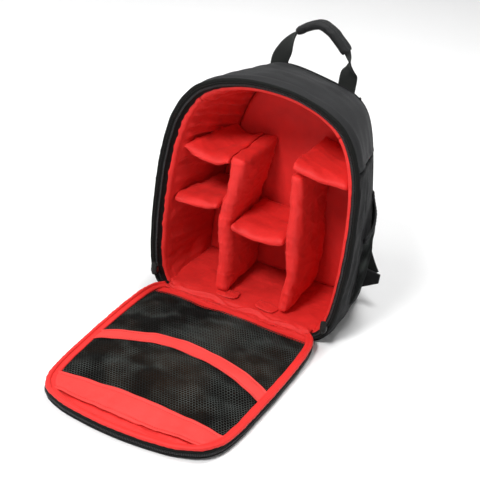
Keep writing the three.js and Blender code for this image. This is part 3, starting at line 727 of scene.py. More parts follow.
def zip_coil(colours):
    """Nylon teeth with a slight shine."""
    tree = Tree("zip_coil", Specular_IOR_Level=0.5)
    smudge = tree.noise(tree.place(), 0.006, 2)
    colour = tree.mix(rgba(colours.plastic, 1.2), rgba(colours.plastic, 2.6), smudge)
    bump = tree.bump(smudge, 0.0001, 0.4)
    return tree.surface(Base_Color=colour, Roughness=0.32 + smudge * 0.15, Normal=bump)


def sewing_thread(name, colour):
    """Twisted thread."""
    tree = Tree(name, Specular_IOR_Level=0.3)
    x, y, z = tree.split(tree.place())
    twist = (x + y + z).wave(0.0006)
    shade = tree.mix(rgba(colour, 0.7), rgba(colour, 1.25), twist)
    bump = tree.bump(twist, 0.0001, 0.6)
    return tree.surface(Base_Color=shade, Roughness=0.5 + twist * 0.15, Normal=bump)


def studio_floor(colours):
    """Pale seamless floor with the faintest mottling."""
    tree = Tree("studio_floor", Specular_IOR_Level=0.2)
    cloud = tree.noise(tree.place(), 0.6, 2)
    shade = tree.mix(rgba(colours.floor, 0.985), rgba(colours.floor, 1.0), cloud)
    return tree.surface(Base_Color=shade, Roughness=0.75 + cloud * 0.05)


FINISHES = {}


def finish(name):
    """One of the bag's materials, made once."""
    if name not in FINISHES:
        colours = bpy.context.scene.backpack_colours
        FINISHES[name] = {
            "shell": lambda: woven_shell(colours),
            # painted shade: the side panels get a duller copy of the shell cloth, with less specular and sheen,
            # so that they look darker than the top
            "side": lambda: woven_shell(colours, "shaded_side_cloth", 0.35),
            "lining": lambda: red_lining(colours),
            "lining_tape": lambda: red_lining(colours, True, "red_tape"),
            "band": lambda: red_lining(colours, True, "band_cloth", colours.band),
            "backing": lambda: pocket_backing(colours),
            "net": lambda: knitted_net(colours),
            "webbing": lambda: ribbed_webbing(colours),
            "zip_tape": lambda: ribbed_webbing(colours, "zip_tape", 0.0011, 0.5),
            "air_mesh": lambda: air_mesh(colours),
            "plastic": lambda: moulded_plastic(colours),
            "coil": lambda: zip_coil(colours),
            "red_thread": lambda: sewing_thread(name, [c * 0.75 for c in colours.lining]),
            "black_thread": lambda: sewing_thread(name, [c * 1.3 for c in colours.webbing]),
            "floor": lambda: studio_floor(colours),
        }[name]()
    return FINISHES[name]


# Shell


def around_places(start, stop, step):
    """Places along the outline at an even distance in millimetres."""
    fine = np.linspace(start, stop, 400)
    run = lengths(body(fine, 0.5))
    count = max(4, int(run[-1] / step))
    return np.interp(np.linspace(0, run[-1], count + 1), run, fine)


def run_at(place):
    """Millimetres along the outline from the left foot, half way back."""
    fine = np.linspace(0, LAST, 600)
    return np.interp(place, fine, lengths(body(fine, 0.5)))


def from_seam(run, seam):
    """Distance from the nearer one of a pair of seams."""
    return np.minimum(np.abs(run - run_at(seam)), np.abs(run - run_at(LAST - seam)))


def shell_folds(place, t, fold):
    """How far the shell's cloth stands out of its plain form."""
    run, deep = run_at(place), t * (DEPTH + RIM_REACH)
    top = smooth(4.6, 7.5, place) * smooth(LAST - 4.6, LAST - 7.5, place)
    out = fold * (0.9 * ripple(run, deep, 95, 3) + 0.4 * ripple(run, deep, 34, 4, 1.6))
    # The step behind the zip, where the top's padding ends.
    tuck = 15 + 11 * smooth(12, 16, place) + 1.5 * np.sin(run / 47 + 0.6)
    ledge = smooth(2, 14, deep) * smooth(tuck + 1.2, tuck - 0.6, deep)
    step = 1.9 * ledge - 0.7 * bell(deep - tuck - 1.6, 1.0)
    out += smooth(7.5, 9, place) * smooth(16.2, 15.6, place) * step
    # The upright fold of the side panels.
    low = (1 - top) * smooth(0, 25, np.minimum(run, run_at(float(LAST)) - run) + 10)
    bend = 7 * np.sin(run / 42) + 2 * ripple(run, run * 0, 30, 5)
    upright = 1.6 * bell(deep - 24 - bend, 8) - 1.4 * bell(deep - 37 - bend * 0.8, 3.5)
    out += low * (upright + 0.9 * crease(run, deep, 60, 8, 0.4))
    seam = from_seam(run, SEAM)
    out += 1.1 * bell(seam - 4.5, 3) - 1.5 * bell(seam, 1.3)
    return out - 1.2 * smooth(0.975, 1, t)


def shell_panel(name, start, stop, node, cloth="shell"):
    sizes = bpy.context.scene.backpack_sizes
    places = around_places(start, stop, sizes.mesh_step / MM)
    deep = np.concatenate([np.linspace(1, 0.985, 3)[:-1], np.linspace(0.985, 0, 44)])
    place, t = np.meshgrid(places, deep, indexing="ij")
    outer = body(place, t)
    folds = shell_folds(place, t, sizes.shell_fold / MM)
    outer = outer + normals_from(INSIDE, outer, (len(places) // 2, 5)) * folds[..., None]
    nose = body(places[:, None], np.zeros(4), np.linspace(0.4, 2.1, 4)) - np.array([0, 0.7, 0])
    inner = body(place, t, SHELL_WALL)[:, ::-1]
    heel = body(places[:, None], np.ones(4), np.linspace(2.1, 0.4, 4)) + np.array([0, 0.25, 0])
    tube(name, np.concatenate([outer, nose, inner, heel], 1), node, finish(cloth))


def build_shell():
    low, high = SEAM, LAST - SEAM
    # the side panels take the duller copy of the shell cloth, which paints shade on them
    shell_panel("side_panel_left_cloth", 0, low - SEAM_GAP, "side_panel_left", "side")
    shell_panel("side_panel_right_cloth", high + SEAM_GAP, LAST, "side_panel_right", "side")
    shell_panel("top_panel_cloth", low + SEAM_GAP, high - SEAM_GAP, "top_panel")
    back_panel()
    floor_panel()


def filled_loop(edge, levels, shape):
    """Grid over a closed outline, ring by ring to its middle. shape moves the points."""
    return shape(np.stack([lerp(edge, edge.mean(0), level) for level in levels]))


def plate(name, edge, levels, shape, thickness, nodes, material, normal):
    """A plate with a soft edge over a closed outline."""
    upper = filled_loop(edge, levels, shape)
    count = len(edge)
    shift = np.asarray(normal) * thickness
    rounded = upper[:1] + shift * 0.5 + (upper[:1] - upper[1:2]) * 0.25
    lower = filled_loop(edge, levels, lambda p: p) + shift
    points = np.concatenate([upper[::-1], rounded, lower]).reshape(-1, 3)
    rings = 2 * len(levels) + 1
    faces = skin_faces(rings, count)
    faces += [list(range(count)), [(rings - 1) * count + k for k in range(count)]]
    uv = points[:, [0, 2]] if abs(normal[2]) < 0.5 else points[:, [0, 1]]
    return make_piece(name, points, faces, nodes, material, uv)


def back_panel():
    places = around_places(0, LAST, 6)
    arch = body(places, 1.0) + np.array([0, BACK_CLOTH, 0])
    foot = np.linspace(arch[-1], arch[0], 24)[1:-1]
    edge = np.vstack([arch, foot])

    def puff(points):
        x, z = points[..., 0], points[..., 2]
        inside = np.linspace(0, 1, len(points))[:, None]
        out = 1.6 * np.sin(np.clip(inside * 3, 0, 1) * math.pi / 2) + 0.5 * ripple(x, z, 70, 21)
        points[..., 1] += out - 1.4 * (inside < 0.005)
        return points

    plate(
        "back_panel_cloth", edge, np.linspace(0, 0.97, 26), puff, SHELL_WALL, "back_panel",
        finish("shell"), (0, -1, 0),
    )


BASE_CLOTH = 2.4


def floor_edge(z, inset, gap):
    """Outline of a floor inside a layer of the walls."""
    left = []
    for t in np.linspace(0, 1, 14):
        row = body(np.linspace(0, 6, 60), t, inset, 0 if inset < 3 else LINING_BASE)
        x = np.interp(z, row[:, 2], row[:, 0]) + gap
        left.append((x, lerp(front_y(z) - RIM_REACH, back_y(z), t), z))
    left = np.array(left)
    right = left[::-1] * [-1, 1, 1]
    return left, right


def floor_panel():
    left, right = floor_edge(0.0, SHELL_WALL, 1.0)
    back, front = np.linspace(left[-1], right[0], 26)[1:-1], np.linspace(right[-1], left[0], 26)[1:-1]
    edge = np.vstack([left, back, right, front])
    edge[:, 2] += BASE_CLOTH
    plate(
        "floor_panel_cloth", edge, np.linspace(0, 0.95, 14), lambda points: points, BASE_CLOTH, "floor_panel",
        finish("shell"), (0, 0, -1),
    )


# Lining


def lining_folds(place, t):
    """How far the lining's cloth stands in from its plain form, in the compartment."""
    run, deep = run_at(place), t * DEPTH
    gather = bell(place - 7.4, 2.3) + 0.5 * bell(place - 15.2, 1.8) + 0.25
    drift = 0.8 * ripple(run, deep * 0.4, 60, 31)
    ridges = 1 - np.abs(np.sin(run / 5.4 + drift + 0.01 * deep * np.sin(run / 31)))
    small = 1 - np.abs(np.sin(run / 3.1 + drift * 2 + 0.02 * deep))
    out = gather * (5.4 * ridges + 1.3 * small - 2.4) * smooth(2, 16, deep) * smooth(150, 60, deep)
    out += 1.5 * ripple(run, deep, 48, 33) + 0.7 * crease(run, deep, 34, 34, 0.5)
    seam = from_seam(run, LINING_SEAM)
    out += 1.2 * bell(seam - 7, 5) - 2.6 * bell(seam, 2.2)
    out -= 1.6 * bell(deep - 13, 1.6) * (0.6 + 0.4 * np.sin(run / 9))
    return out + 1.0


def lining_panel(name, start, stop, node):
    """A padded panel: its hidden outer face, its rolled front edge and its folded inner face."""
    places = around_places(start, stop, 2.6)
    back = np.linspace(1, 0.07, 8)
    start_t = RIM_REACH / (RIM_REACH + DEPTH)
    t_of = lambda deep: start_t + (1 - start_t) * deep
    outer = body(places[:, None], t_of(back)[None, :], LINING_INSET, LINING_BASE)
    turn = np.linspace(-math.pi / 2, math.pi / 2, 13)
    inset = LINING_INSET + LINING_WALL / 2 + rounded(turn, 1.0, 0.7)[1] * LINING_WALL / 2
    nose_t = t_of(0.045 - 0.05 * np.cos(turn) ** 0.8)
    nose = body(places[:, None], nose_t[None, :], inset[None, :], LINING_BASE)
    run = run_at(places)
    pucker = 0.8 * ripple(run, run * 0, 17, 41) + 0.7 * crease(run, run * 0, 12, 42)
    pucker *= 1 + 1.2 * bell(places - 7.4, 2.3)
    nose[..., 1] -= (pucker * 0.9 - 1.2 * bell(from_seam(run, LINING_SEAM), 2.5))[:, None] * np.cos(turn)
    deep = np.linspace(0.07, 1, 44)
    place, depth = np.meshgrid(places, deep, indexing="ij")
    inner = body(place, t_of(depth), LINING_INSET + LINING_WALL, LINING_BASE)
    normal = -normals_from(INSIDE, inner, (len(places) // 2, 20))
    folds = lining_folds(place, depth) * smooth(0.05, 0.12, depth) * (1 - 0.8 * smooth(0.93, 1, depth))
    rings = np.concatenate([outer, nose, inner + normal * folds[..., None]], 1)
    if rings.shape[1] % 2:
        rings = rings[:, 1:]
    piece = tube(name, rings, node, finish("lining"))


def build_lining():
    low, high, gap = LINING_SEAM, LAST - LINING_SEAM, 0.01
    lining_panel("lining_left_padding", 0, low - gap, "lining_left")
    lining_panel("lining_right_padding", high + gap, LAST, "lining_right")
    lining_panel("lining_top_padding", low + gap, high - gap, "lining_top")
    lining_back()
    lining_floor()


def lining_back():
    places = around_places(0.7, LAST - 0.7, 5)
    arch = body(places, 1.0, LINING_INSET + LINING_WALL + 1.0, LINING_BASE)
    arch[:, 2] = np.maximum(arch[:, 2], FLOOR_TOP + 0.4)
    foot = np.linspace(arch[-1], arch[0], 34)[1:-1]
    edge = np.vstack([arch, foot])
    edge[:, 1] = back_y(edge[:, 2]) - BACK_FACE + 0.3

    def puff(points):
        x, z = points[..., 0], points[..., 2]
        inside = np.linspace(0, 0.96, len(points))[:, None]
        out = 0.5 * ripple(x, z, 60, 51) + 0.35 * crease(x, z, 40, 52, 1.8)
        points[..., 1] -= np.clip(inside * 12, 0, 1) * out - 2.0 * (inside < 0.005)
        return points

    piece = plate(
        "lining_back_padding", edge, np.linspace(0, 0.96, 34), puff, 7.6, "lining_back",
        finish("lining"), (0, 1, 0),
    )


def lining_floor():
    left, right = floor_edge(FLOOR_TOP, LINING_INSET + LINING_WALL, 0.8)
    rows = np.array([np.linspace(a, b, 70) for a, b in zip(left[1:], right[-2::-1])])
    coarse, fine = np.linspace(0, 1, len(rows)), np.linspace(0, 1, 40)
    top = np.array([[np.interp(fine, coarse, rows[:, c, k]) for k in range(3)] for c in range(70)])
    top = np.transpose(top, (2, 0, 1))
    top[0, :, 1] += 1.0
    x, y = top[..., 0], top[..., 1]
    edge = np.clip((y + 60) / 12, 0, 1)
    waves = 0.7 * ripple(x, y, 38, 55) * edge + 0.6 * crease(x, y, 30, 56, 1.6) * edge
    top[..., 2] = FLOOR_TOP - 1.0 + waves
    rings = sheet_rings(top, at_height(top, LINING_BASE + 0.1))
    piece = tube("lining_floor_padding", rings, "lining_floor", finish("lining"))


# Zip round the opening


def rim(place, inset, ahead):
    """Points on the opening's rim: inset from its outer edge, and ahead of it."""
    place, inset, ahead = np.broadcast_arrays(place, inset, ahead)
    points = body(place, 0.0, inset, LINING_BASE)
    points[..., 1] -= ahead
    return points


def build_zip():
    sizes = bpy.context.scene.backpack_sizes
    places = around_places(0, LAST, 2.2)
    run = run_at(places)
    wave = 0.25 * ripple(run, run * 0, 40, 61)
    course = [  # inset from the rim's outer edge, and ahead of it
        (1.2, -1.6), (-0.2, -0.6), (-0.6, 0.8), (-0.1, 2.0), (1.2, 2.7), (2.6, 2.6), (3.6, 1.9), (4.4, 1.0),
        (5.2, 0.3), (6.0, 0.1), (7.0, -0.9), (8.2, -2.2), (9.4, -3.7), (10.6, -5.2), (11.6, -6.6), (12.2, -7.4),
    ]
    under = [(a + 0.5, b - 1.3) for a, b in course[::-1]]
    profile = np.array(course + under)
    rings = rim(places[:, None], profile[None, :, 0] + wave[:, None], profile[None, :, 1])
    tube("zip_strip_tape", rings, "zip_strip", finish("zip_tape"))
    line = rim(places, 7.6 + wave, -0.4)
    ups = np.tile([0, -1.0, 0], (len(line), 1))
    points, faces = beads_along(line, ups, sizes.tooth_pitch / MM, (3.0, 1.05, 1.5), turned=True)
    make_piece("zip_coil_body", points, faces, None, finish("coil"))
    stitches("zip_strip_stitches", [(rim(places, 3.9 + wave, 2.2), ups)])
    for side in ("left", "right"):
        slider = rounded_copy("zip_slider_%s_body" % side, "zip_slider_" + side, 0.9, 3)
        settle(slider, "zip_slider_" + side, finish("plastic"))
        zip_pull(side)


def rounded_copy(name, node, width, segments):
    """A hard part with its edges rounded."""
    piece = copied(name, node)
    form = bmesh.new()
    form.from_mesh(piece.data)
    bmesh.ops.dissolve_limit(form, angle_limit=0.03, verts=form.verts, edges=form.edges)
    form.to_mesh(piece.data)
    form.free()
    applied(piece, "BEVEL", width=width * MM, segments=segments, limit_method="ANGLE", angle_limit=0.6)
    tidy(piece)
    return piece


def zip_pull(side):
    """A soft tab, narrow at the slider and rounded at its other end."""
    low, high = corners_of("zip_pull_" + side)
    middle, half = (low + high) / 2, (high - low) / 2
    u, v = rounded(circle(16), 0.6)
    rows = []
    for share in np.linspace(0, 1, 25):
        width = half[0] * (0.55 + 0.45 * smooth(0, 0.3, share))
        width *= math.sqrt(max(0.05, 1 - max(0, (share - 0.88) / 0.12) ** 2))
        y = middle[1] + v * (half[1] + 0.25 * math.sin(share * 20)) - 0.6 * math.sin(share * 3)
        rows.append(np.stack([middle[0] + u * width, y, np.full(16, lerp(low[2], high[2], share))], -1))
    tube("zip_pull_%s_tab" % side, np.array(rows), "zip_pull_" + side, finish("webbing"))


# Dividers


def build_dividers():
    upright = {"voxel": 4.5, "shrink": 0.9, "cap": 5, "fill": 0.8, "growth": 0.5}
    across = {"voxel": 4, "shrink": 0.6, "cap": 4, "fill": 0.8, "growth": 0.42}
    for name, seed, foam in (
        ("divider_left", 70, upright), ("divider_right", 71, upright), ("left_high_shelf", 80, across),
        ("left_low_shelf", 81, across), ("middle_shelf", 82, across), ("right_shelf", 83, across),
    ):
        soften(puffed(name + "_padding", name, finish("lining"), "lining_fabric", **foam), seed)
    flaps()


def soften(piece, seed):
    """Small wrinkles over a padded piece."""
    def amount(points):
        x, y, z = points.T
        waves = 0.9 * ripple(y, z + x, 30, seed) + 0.9 * crease(y + x * 0.4, z, 26, seed + 20, 2.2)
        return waves - 0.4

    displaced(piece, amount)


def flaps():
    """Sewn flaps at the feet of the upright dividers, pressed on to the floor."""
    half, reach, from_middle = 15.0, 9.0, -46.0
    for name, middle, turn in (("divider_left_flap", -25.0, 0.10), ("divider_right_flap", 31.0, -0.16)):
        ring = []
        for share in np.linspace(0, 1, 30):
            x = lerp(-half, half, share)
            edge = math.sqrt(max(0.0, 1 - (x / half) ** 4))
            ring.append([(x, y) for y in np.linspace(-reach * edge - 0.1, reach, 16)])
        flat = np.array(ring)
        x = middle + flat[..., 0] * math.cos(turn) - flat[..., 1] * math.sin(turn)
        y = from_middle + flat[..., 0] * math.sin(turn) + flat[..., 1] * math.cos(turn)
        bulge = 1.2 * (1 - np.abs(flat[..., 0] / half) ** 3) * (1 - np.clip(-flat[..., 1] / reach, 0, 1) ** 3)
        top = np.stack([x, y, FLOOR_TOP + 1.0 + bulge + 0.3 * ripple(x, y, 11, 90)], -1)
        rings = sheet_rings(top, at_height(top, FLOOR_TOP + 0.1))
        tube(name, rings, None, finish("lining"))
        edges = [(top[3:-3, k] + [0, 0, 0.1], (0, 0, 1)) for k in (3, -4)]
        stitches(name + "_stitches", edges, "red_thread", 3.0)


# Front panel


def lid_lift(x, y):
    """The far right corner of the front panel curls up a little."""
    return 4.5 * smooth(60, 125, x) * smooth(-300, -372, y)


def lifted(points):
    """The same array, its points raised where the front panel curls up."""
    points[..., 2] += lid_lift(points[..., 0], points[..., 1])
    return points


def lid_places(step):
    fine = np.linspace(0, LAST, 600)
    run = lengths(lid(fine))
    return np.interp(np.linspace(0, run[-1], int(run[-1] / step) + 1), run, fine)


def build_lid_panel():
    lid_base()
    lid_rim()
    lid_padding()
    lid_binding()


def lid_base():
    places = lid_places(5)
    arch = lid(places, 0.4, BASE_CLOTH)
    edge = np.vstack([arch, np.linspace(arch[-1], arch[0], 40)[1:-1]])
    piece = plate(
        "lid_base_cloth", edge, np.linspace(0, 0.97, 20), lambda points: points, BASE_CLOTH, "lid_base",
        finish("shell"), (0, 0, -1),
    )
    set_points(piece, lifted(get_points(piece)))


def lid_rim():
    sizes = bpy.context.scene.backpack_sizes
    places = lid_places(2.4)
    run = lengths(lid(places))
    wave = 0.5 * ripple(run, run * 0, 60, 101) + 0.2 * ripple(run, run * 0, 18, 102)
    course = [  # inset from the panel's edge, and height
        (1.6, 1.0), (0.4, 1.4), (-0.4, 2.8), (-1.0, 4.4), (-1.2, 5.6), (-0.8, 6.4), (-1.4, 7.4), (-1.8, 9.0),
        (-1.6, 10.6), (-0.8, 11.8),
    ]
    under = [
        (1.0, 11.8), (1.4, 10.6), (1.6, 9.0), (1.7, 7.4), (1.8, 6.4), (1.9, 5.6), (2.0, 4.4), (2.1, 3.2),
        (2.3, 2.2), (2.2, 1.4),
    ]
    profile = np.array(course + under)
    points = lid(places[:, None], profile[None, :, 0] - wave[:, None], profile[None, :, 1])
    tube("lid_rim_tape", lifted(points), "lid_rim", finish("zip_tape"))
    line = lifted(lid(places, -1.9 - wave, 6.4))
    outward = unit(line - lid(places, 8.0, 6.4))
    points, faces = beads_along(line, outward, sizes.tooth_pitch / MM, (2.8, 1.05, 1.4), turned=True)
    make_piece("zip_coil_lid", points, faces, None, finish("coil"))


BAND_EDGES = {  # distance from the hinge as a share of the panel: in the middle, and more of it at the sides
    "net_near": (0.065, 0.0), "band_middle": (0.402, 0.073), "net_far": (0.480, 0.072),
    "band_far": (0.806, 0.012), "end": (0.935, -0.02),
}


def field_edge(name, x):
    middle, more = BAND_EDGES[name]
    return middle + more * (x / 108) ** 2


def lid_padding():
    near, middle, far = [0.001, 0.006, 0.014], np.linspace(0.024, 0.95, 110), np.linspace(0.955, 0.984, 12)
    shares = np.concatenate([near, middle, far])
    share, side = np.meshgrid(shares, np.linspace(-1, 1, 91), indexing="ij")
    reach = lid_half(share, PAD_INSET) - 0.6
    x, y = side * reach, lid_y(share)
    top = pad_top(x, share) + pad_relief(x, y, share)
    top -= 1.6 * smooth(0.015, 0.0, share) + 3.0 * smooth(0.975, 1, np.abs(side))
    upper = lifted(np.stack([x, y, top], -1))
    lower = lifted(np.stack([x, y, np.full_like(x, PAD_BASE + 0.1)], -1))
    finishes = [finish("lining"), finish("backing")]
    piece = tube("lid_padding", sheet_rings(upper, lower), "lid_pad", finishes)
    for face in piece.data.polygons:
        x, y, _ = np.array(face.center) / MM
        share = lid_share(y)
        near, far = field_edge("net_near", x) + 0.004, field_edge("band_far", x) + 0.02
        under_net = near < share < far and abs(x) < lid_half(share, PAD_INSET) - LID_BORDER - 1.5
        face.material_index = 1 if under_net and face.normal.z > 0.2 else 0


def pad_relief(x, y, share):
    """Folds and hollows of the padding under the nets."""
    edge = smooth(1.0, 0.86, np.abs(x) / lid_half(share, PAD_INSET))
    out = edge * (1.2 * ripple(x, y, 75, 111) + 0.5 * ripple(x, y, 28, 112))
    near, far, long = smooth(0.11, 0.03, share), smooth(0.9, 0.95, share), share * LID_LONG
    ridge, hollow = bell(long - 6 - 2 * np.sin(x / 23), 3), bell(long - 12 - 2 * np.sin(x / 31 + 1), 2.2)
    out += near * (1.5 * ridge - 1.2 * hollow)
    seam = y + 350 + 3 * np.sin(x / 40) + 0.5 * ripple(x, x * 0, 13, 113)
    pucker = bell(seam - 3, 4) * (0.9 + 0.7 * ripple(x, x * 0, 10, 114)) + 0.5 * bell(seam + 5, 3)
    return out + far * smooth(86, 78, np.abs(x)) * (pucker - 2.0 * bell(seam, 0.9))


NET_COVER = 0.7  # share of a net's outline that its strands take as flat cloth


def net_sheet(name, node, low, high, holds, place, dense=1.0, held="stretched", on=None):
    """An open knitted net of six-sided cells: holds says which lie in it, place where its corners are."""
    sizes = bpy.context.scene.backpack_sizes
    pitch, strand = sizes.net_pitch / MM / dense, sizes.net_strand / MM
    radius, tall = pitch / math.sqrt(3), pitch * math.sqrt(3) / 2
    rows, columns = np.arange((high[1] - low[1]) / tall + 2), np.arange((high[0] - low[0]) / pitch + 2)
    row, column = np.meshgrid(rows, columns)
    middle = np.stack([low[0] + (column + 0.5 * (row % 2)) * pitch, low[1] + row * tall], -1).reshape(-1, 2)
    middle = middle[holds(middle[:, 0], middle[:, 1])]
    turn = np.arange(6) * math.pi / 3
    corners = (middle[:, None] + radius * np.stack([np.sin(turn), np.cos(turn)], -1)).reshape(-1, 2)
    keys = np.round(corners * 50).astype(int)  # corners within 0.02 mm are one
    _, first, faces = np.unique(keys, axis=0, return_index=True, return_inverse=True)
    flat = corners[first]
    mesh = bpy.data.meshes.new(name)
    mesh.from_pydata((place(flat[:, 0], flat[:, 1]) * MM).tolist(), [], faces.reshape(-1, 6).tolist())
    piece = linked(name, mesh)
    applied(
        piece, "WIREFRAME", thickness=strand * MM, use_even_offset=False, use_boundary=True, use_replace=True
    )
    tidy(piece)
    settle(piece, node, finish("net"))
    without_holes = NET_COVER * len(middle) * pitch * tall * MM**2


def lid_field(near_name, far_name):
    """Which cells of a net lie between two edges of the pocket field, and how high they are."""
    def edges(x):
        return field_edge(near_name, x) - 0.004, field_edge(far_name, x) + 0.008

    def holds(x, y):
        share = lid_share(y)
        near, far = edges(x)
        return (share > near) & (share < far) & (np.abs(x) < lid_half(share, PAD_INSET) - LID_BORDER + 1.0)

    def place(x, y):
        share = lid_share(y)
        near, far = edges(x)
        side = lid_half(share, PAD_INSET) - LID_BORDER - np.abs(x)
        loose = smooth(0, 22, np.minimum(share - near, far - share) * LID_LONG) * smooth(0, 22, side)
        high = pad_top(x, share) + pad_relief(x, y, share) + 1.0
        high += loose * (1.7 + 1.5 * ripple(x, y, 62, 121) + 0.9 * ripple(x, y, 24, 122))
        return np.stack([x, y, high + lid_lift(x, y)], -1)

    return holds, place


def build_lid_pockets():
    low, high = (-118.0, lid_y(0.9)), (118.0, lid_y(0.0))
    net_sheet("net_near_mesh", "net_near", low, high, *lid_field("net_near", "band_middle"), on="lid_padding")
    net_sheet("net_far_mesh", "net_far", low, high, *lid_field("net_far", "band_far"), on="lid_padding")
    band("band_middle", "band_middle", "net_far", 2.2, 131)
    band("band_far", "band_far", "end", 2.4, 132)


def band(node, start, stop, lift, seed):
    """A hemmed cloth band across the front panel."""
    side, row = np.meshgrid(np.linspace(-1, 1, 100), np.linspace(0, 1, 24), indexing="ij")
    share = lerp(field_edge(start, side * 110), field_edge(stop, side * 110), row)
    for _ in range(2):  # its width and its place depend on each other
        x = side * (lid_half(share, PAD_INSET) - LID_BORDER + 1.5)
        share = lerp(field_edge(start, x), field_edge(stop, x), row)
    y = lid_y(share)
    hem = 0.7 * (bell(row - 0.03, 0.05) + bell(row - 0.97, 0.05))
    hem -= 0.5 * (bell(row - 0.16, 0.03) + bell(row - 0.84, 0.03))
    z = pad_top(x, share) + pad_relief(x, y, share) + lift + hem
    z += 0.5 * ripple(x, y, 44, seed) * smooth(1, 0.8, np.abs(side))
    top = lifted(np.stack([x, y, z], -1))
    rings = sheet_rings(top, at_height(top, top[..., 2] - 1.2))
    piece = tube(node + "_cloth", rings, node, finish("band"))
    for share_row, part in ((3, "near"), (20, "far")):
        line = top[2:-2, share_row] + [0, 0, 0.15]
        name = "%s_stitches_%s" % (node, part)
        stitches(name, [(line, (0, 0, 1))], "red_thread", 3.0)


def lid_binding():
    """The red piping, and the flat strip between it and the pockets."""
    places = lid_places(2.0)
    run = lengths(lid(places))
    fat = 2.6 + 0.22 * ripple(run, run * 0, 9, 141) + 0.2 * ripple(run, run * 0, 30, 142)
    turn, tape = circle(18), finish("lining_tape")
    points = lid(places[:, None], 0.4 + fat[:, None] * np.cos(turn), 13.4 + fat[:, None] * np.sin(turn))
    tube("lid_binding_roll", lifted(points), "lid_binding", tape)
    profile = np.array([  # inset from the panel's edge, and height
        (1.6, 13.0), (3.0, 13.6), (5.0, 13.2), (7.0, 12.6), (8.8, 11.8), (8.8, 10.6), (7.0, 10.4), (5.0, 10.8),
        (3.0, 11.0), (1.6, 11.4),
    ])
    inset = profile[:, 0] + 0.3 * ripple(run, run * 0, 26, 143)[:, None]
    high = profile[:, 1] + crown(lid_at(places)[:, 1])[:, None] * profile[:, 0] * 0.16
    points = lid(places[:, None], inset, high)
    tube("lid_border_strip", lifted(points), None, tape)


def build_hinge():
    half, near, far = 102.0, -57.0, -79.0
    across, deep = np.meshgrid(np.linspace(-half, half, 130), np.linspace(near, far, 34), indexing="ij")
    share = (deep - near) / (far - near)
    low = np.interp(share, [0, 0.2, 0.45, 0.62, 0.8, 1], [10.9, 10.2, 6.6, 7.2, 9.8, 11.6])
    drift = ripple(across, across * 0, 70, 153) * 3
    fold = 2.4 * bell(deep + 64 + drift, 1.8) + 2.2 * bell(deep + 71.5 + drift * 0.8, 1.7)
    fold -= 1.6 * bell(deep + 67.5 + drift, 1.3) + 1.2 * bell(deep + 75 + drift * 0.7, 1.1)
    fold *= 0.65 + 0.35 * ripple(across, deep, 45, 154)
    ends = smooth(66, 102, np.abs(across))
    fold += ends * 1.8 * np.sin(across / 3.6 + deep / 5) * smooth(-58, -64, deep)
    top = np.stack([across, deep, low + fold + 0.5 * ripple(across, deep, 20, 151)], -1)
    rings = sheet_rings(top, at_height(top, np.maximum(top[..., 2] - 1.6, 3.0)))
    piece = tube("hinge_lining_cloth", rings, "hinge_lining", finish("lining"))
    low, high = corners_of("hinge_outer")
    x, y = np.linspace(low[0], high[0], 60), np.linspace(high[1] + 2, low[1] - 2, 10)
    across, deep = np.meshgrid(x, y, indexing="ij")
    top = np.stack([across, deep, 2.1 + 0.3 * ripple(across, deep, 14, 152)], -1)
    rings = sheet_rings(top, at_height(top, 0.15))
    tube("hinge_outer_cloth", rings, "hinge_outer", finish("shell"))


# Side pockets


POCKET = {  # shares of the bag's depth, then how far it stands off, and the heights of its foot and rim
    "from": 0.36, "to": 0.97, "depth": 6.5, "foot": 36.0, "front": 124.0, "back": 154.0,
}
POCKET_WIDE, POCKET_LONG = 74.0, 104.0


def side_half(z, y):
    """Half width of the bag at a height and a depth."""
    steps = 24
    t = (y - (front_y(z) - RIM_REACH)) / (back_y(z) - front_y(z) + RIM_REACH)
    grid = body(np.linspace(0.01, 8, 90)[:, None], np.linspace(0, 1, steps + 1)[None, :])
    halves = np.array([np.interp(z, grid[:, k, 2], -grid[:, k, 0]) for k in range(steps + 1)])
    halves = halves.reshape(steps + 1, -1)
    place = np.clip(t, 0, 1) * steps
    low = np.minimum(place.astype(int), steps - 1)
    each = np.arange(np.size(z)).reshape(np.shape(z))
    return lerp(halves[low, each], halves[low + 1, each], place - low)


def pocket_point(side, a, b, lift=0.0, above=0.0):
    """A point of a side pocket: a from its front edge to its back one, b from its foot to its rim."""
    a, b = np.clip(a, 0, 1), np.clip(b, 0, 1)
    z = lerp(POCKET["foot"], lerp(POCKET["front"], POCKET["back"], a), b) + above
    y = lerp(front_y(z), back_y(z), lerp(POCKET["from"], POCKET["to"], a))
    full = np.sqrt(np.sin(math.pi * a)) * (1 - 0.8 * smooth(0.55, 0.92, a))
    slack = POCKET["depth"] * np.sqrt(np.sin(math.pi / 2 * b)) + 0.8 * ripple(a * 70, b * 100, 34, 161)
    stand = 1.4 - 0.6 * smooth(0.8, 1, a) + full * slack + lift
    return np.stack([side * (side_half(z, y) + stand), y, z], -1)


def build_side_pockets():
    for name, side in (("left", -1), ("right", 1)):
        net_sheet(
            "side_pocket_%s_net" % name, "side_pocket_" + name, (0.0, 0.0), (POCKET_WIDE, POCKET_LONG),
            lambda u, v: (u >= 0) & (u <= POCKET_WIDE) & (v >= 0) & (v <= POCKET_LONG),
            lambda u, v: pocket_point(side, u / POCKET_WIDE, v / POCKET_LONG), 1.4, "gathered",
        )
        profile = np.array([
            (-1, 0), (-0.6, 1.6), (0.4, 2.2), (1.6, 1.6), (3.0, 2.0), (4.4, 2.4), (5.8, 1.8), (6.6, 0.4),
            (5.8, -0.6), (4.4, -0.8), (3.0, -0.8), (1.6, -0.8), (0.4, -0.8), (-0.6, -0.6),
        ])
        a = np.linspace(0, 1, 50)[:, None]
        gather = 0.25 * np.sin(a * 90)
        rings = pocket_point(side, a + 0 * profile[:, 0], 1.0 + 0 * a, profile[:, 1] + gather, profile[:, 0])
        node = "side_pocket_rim_" + name
        tube(node + "_band", rings, node, finish("shell"))


# Back pad, straps and handle


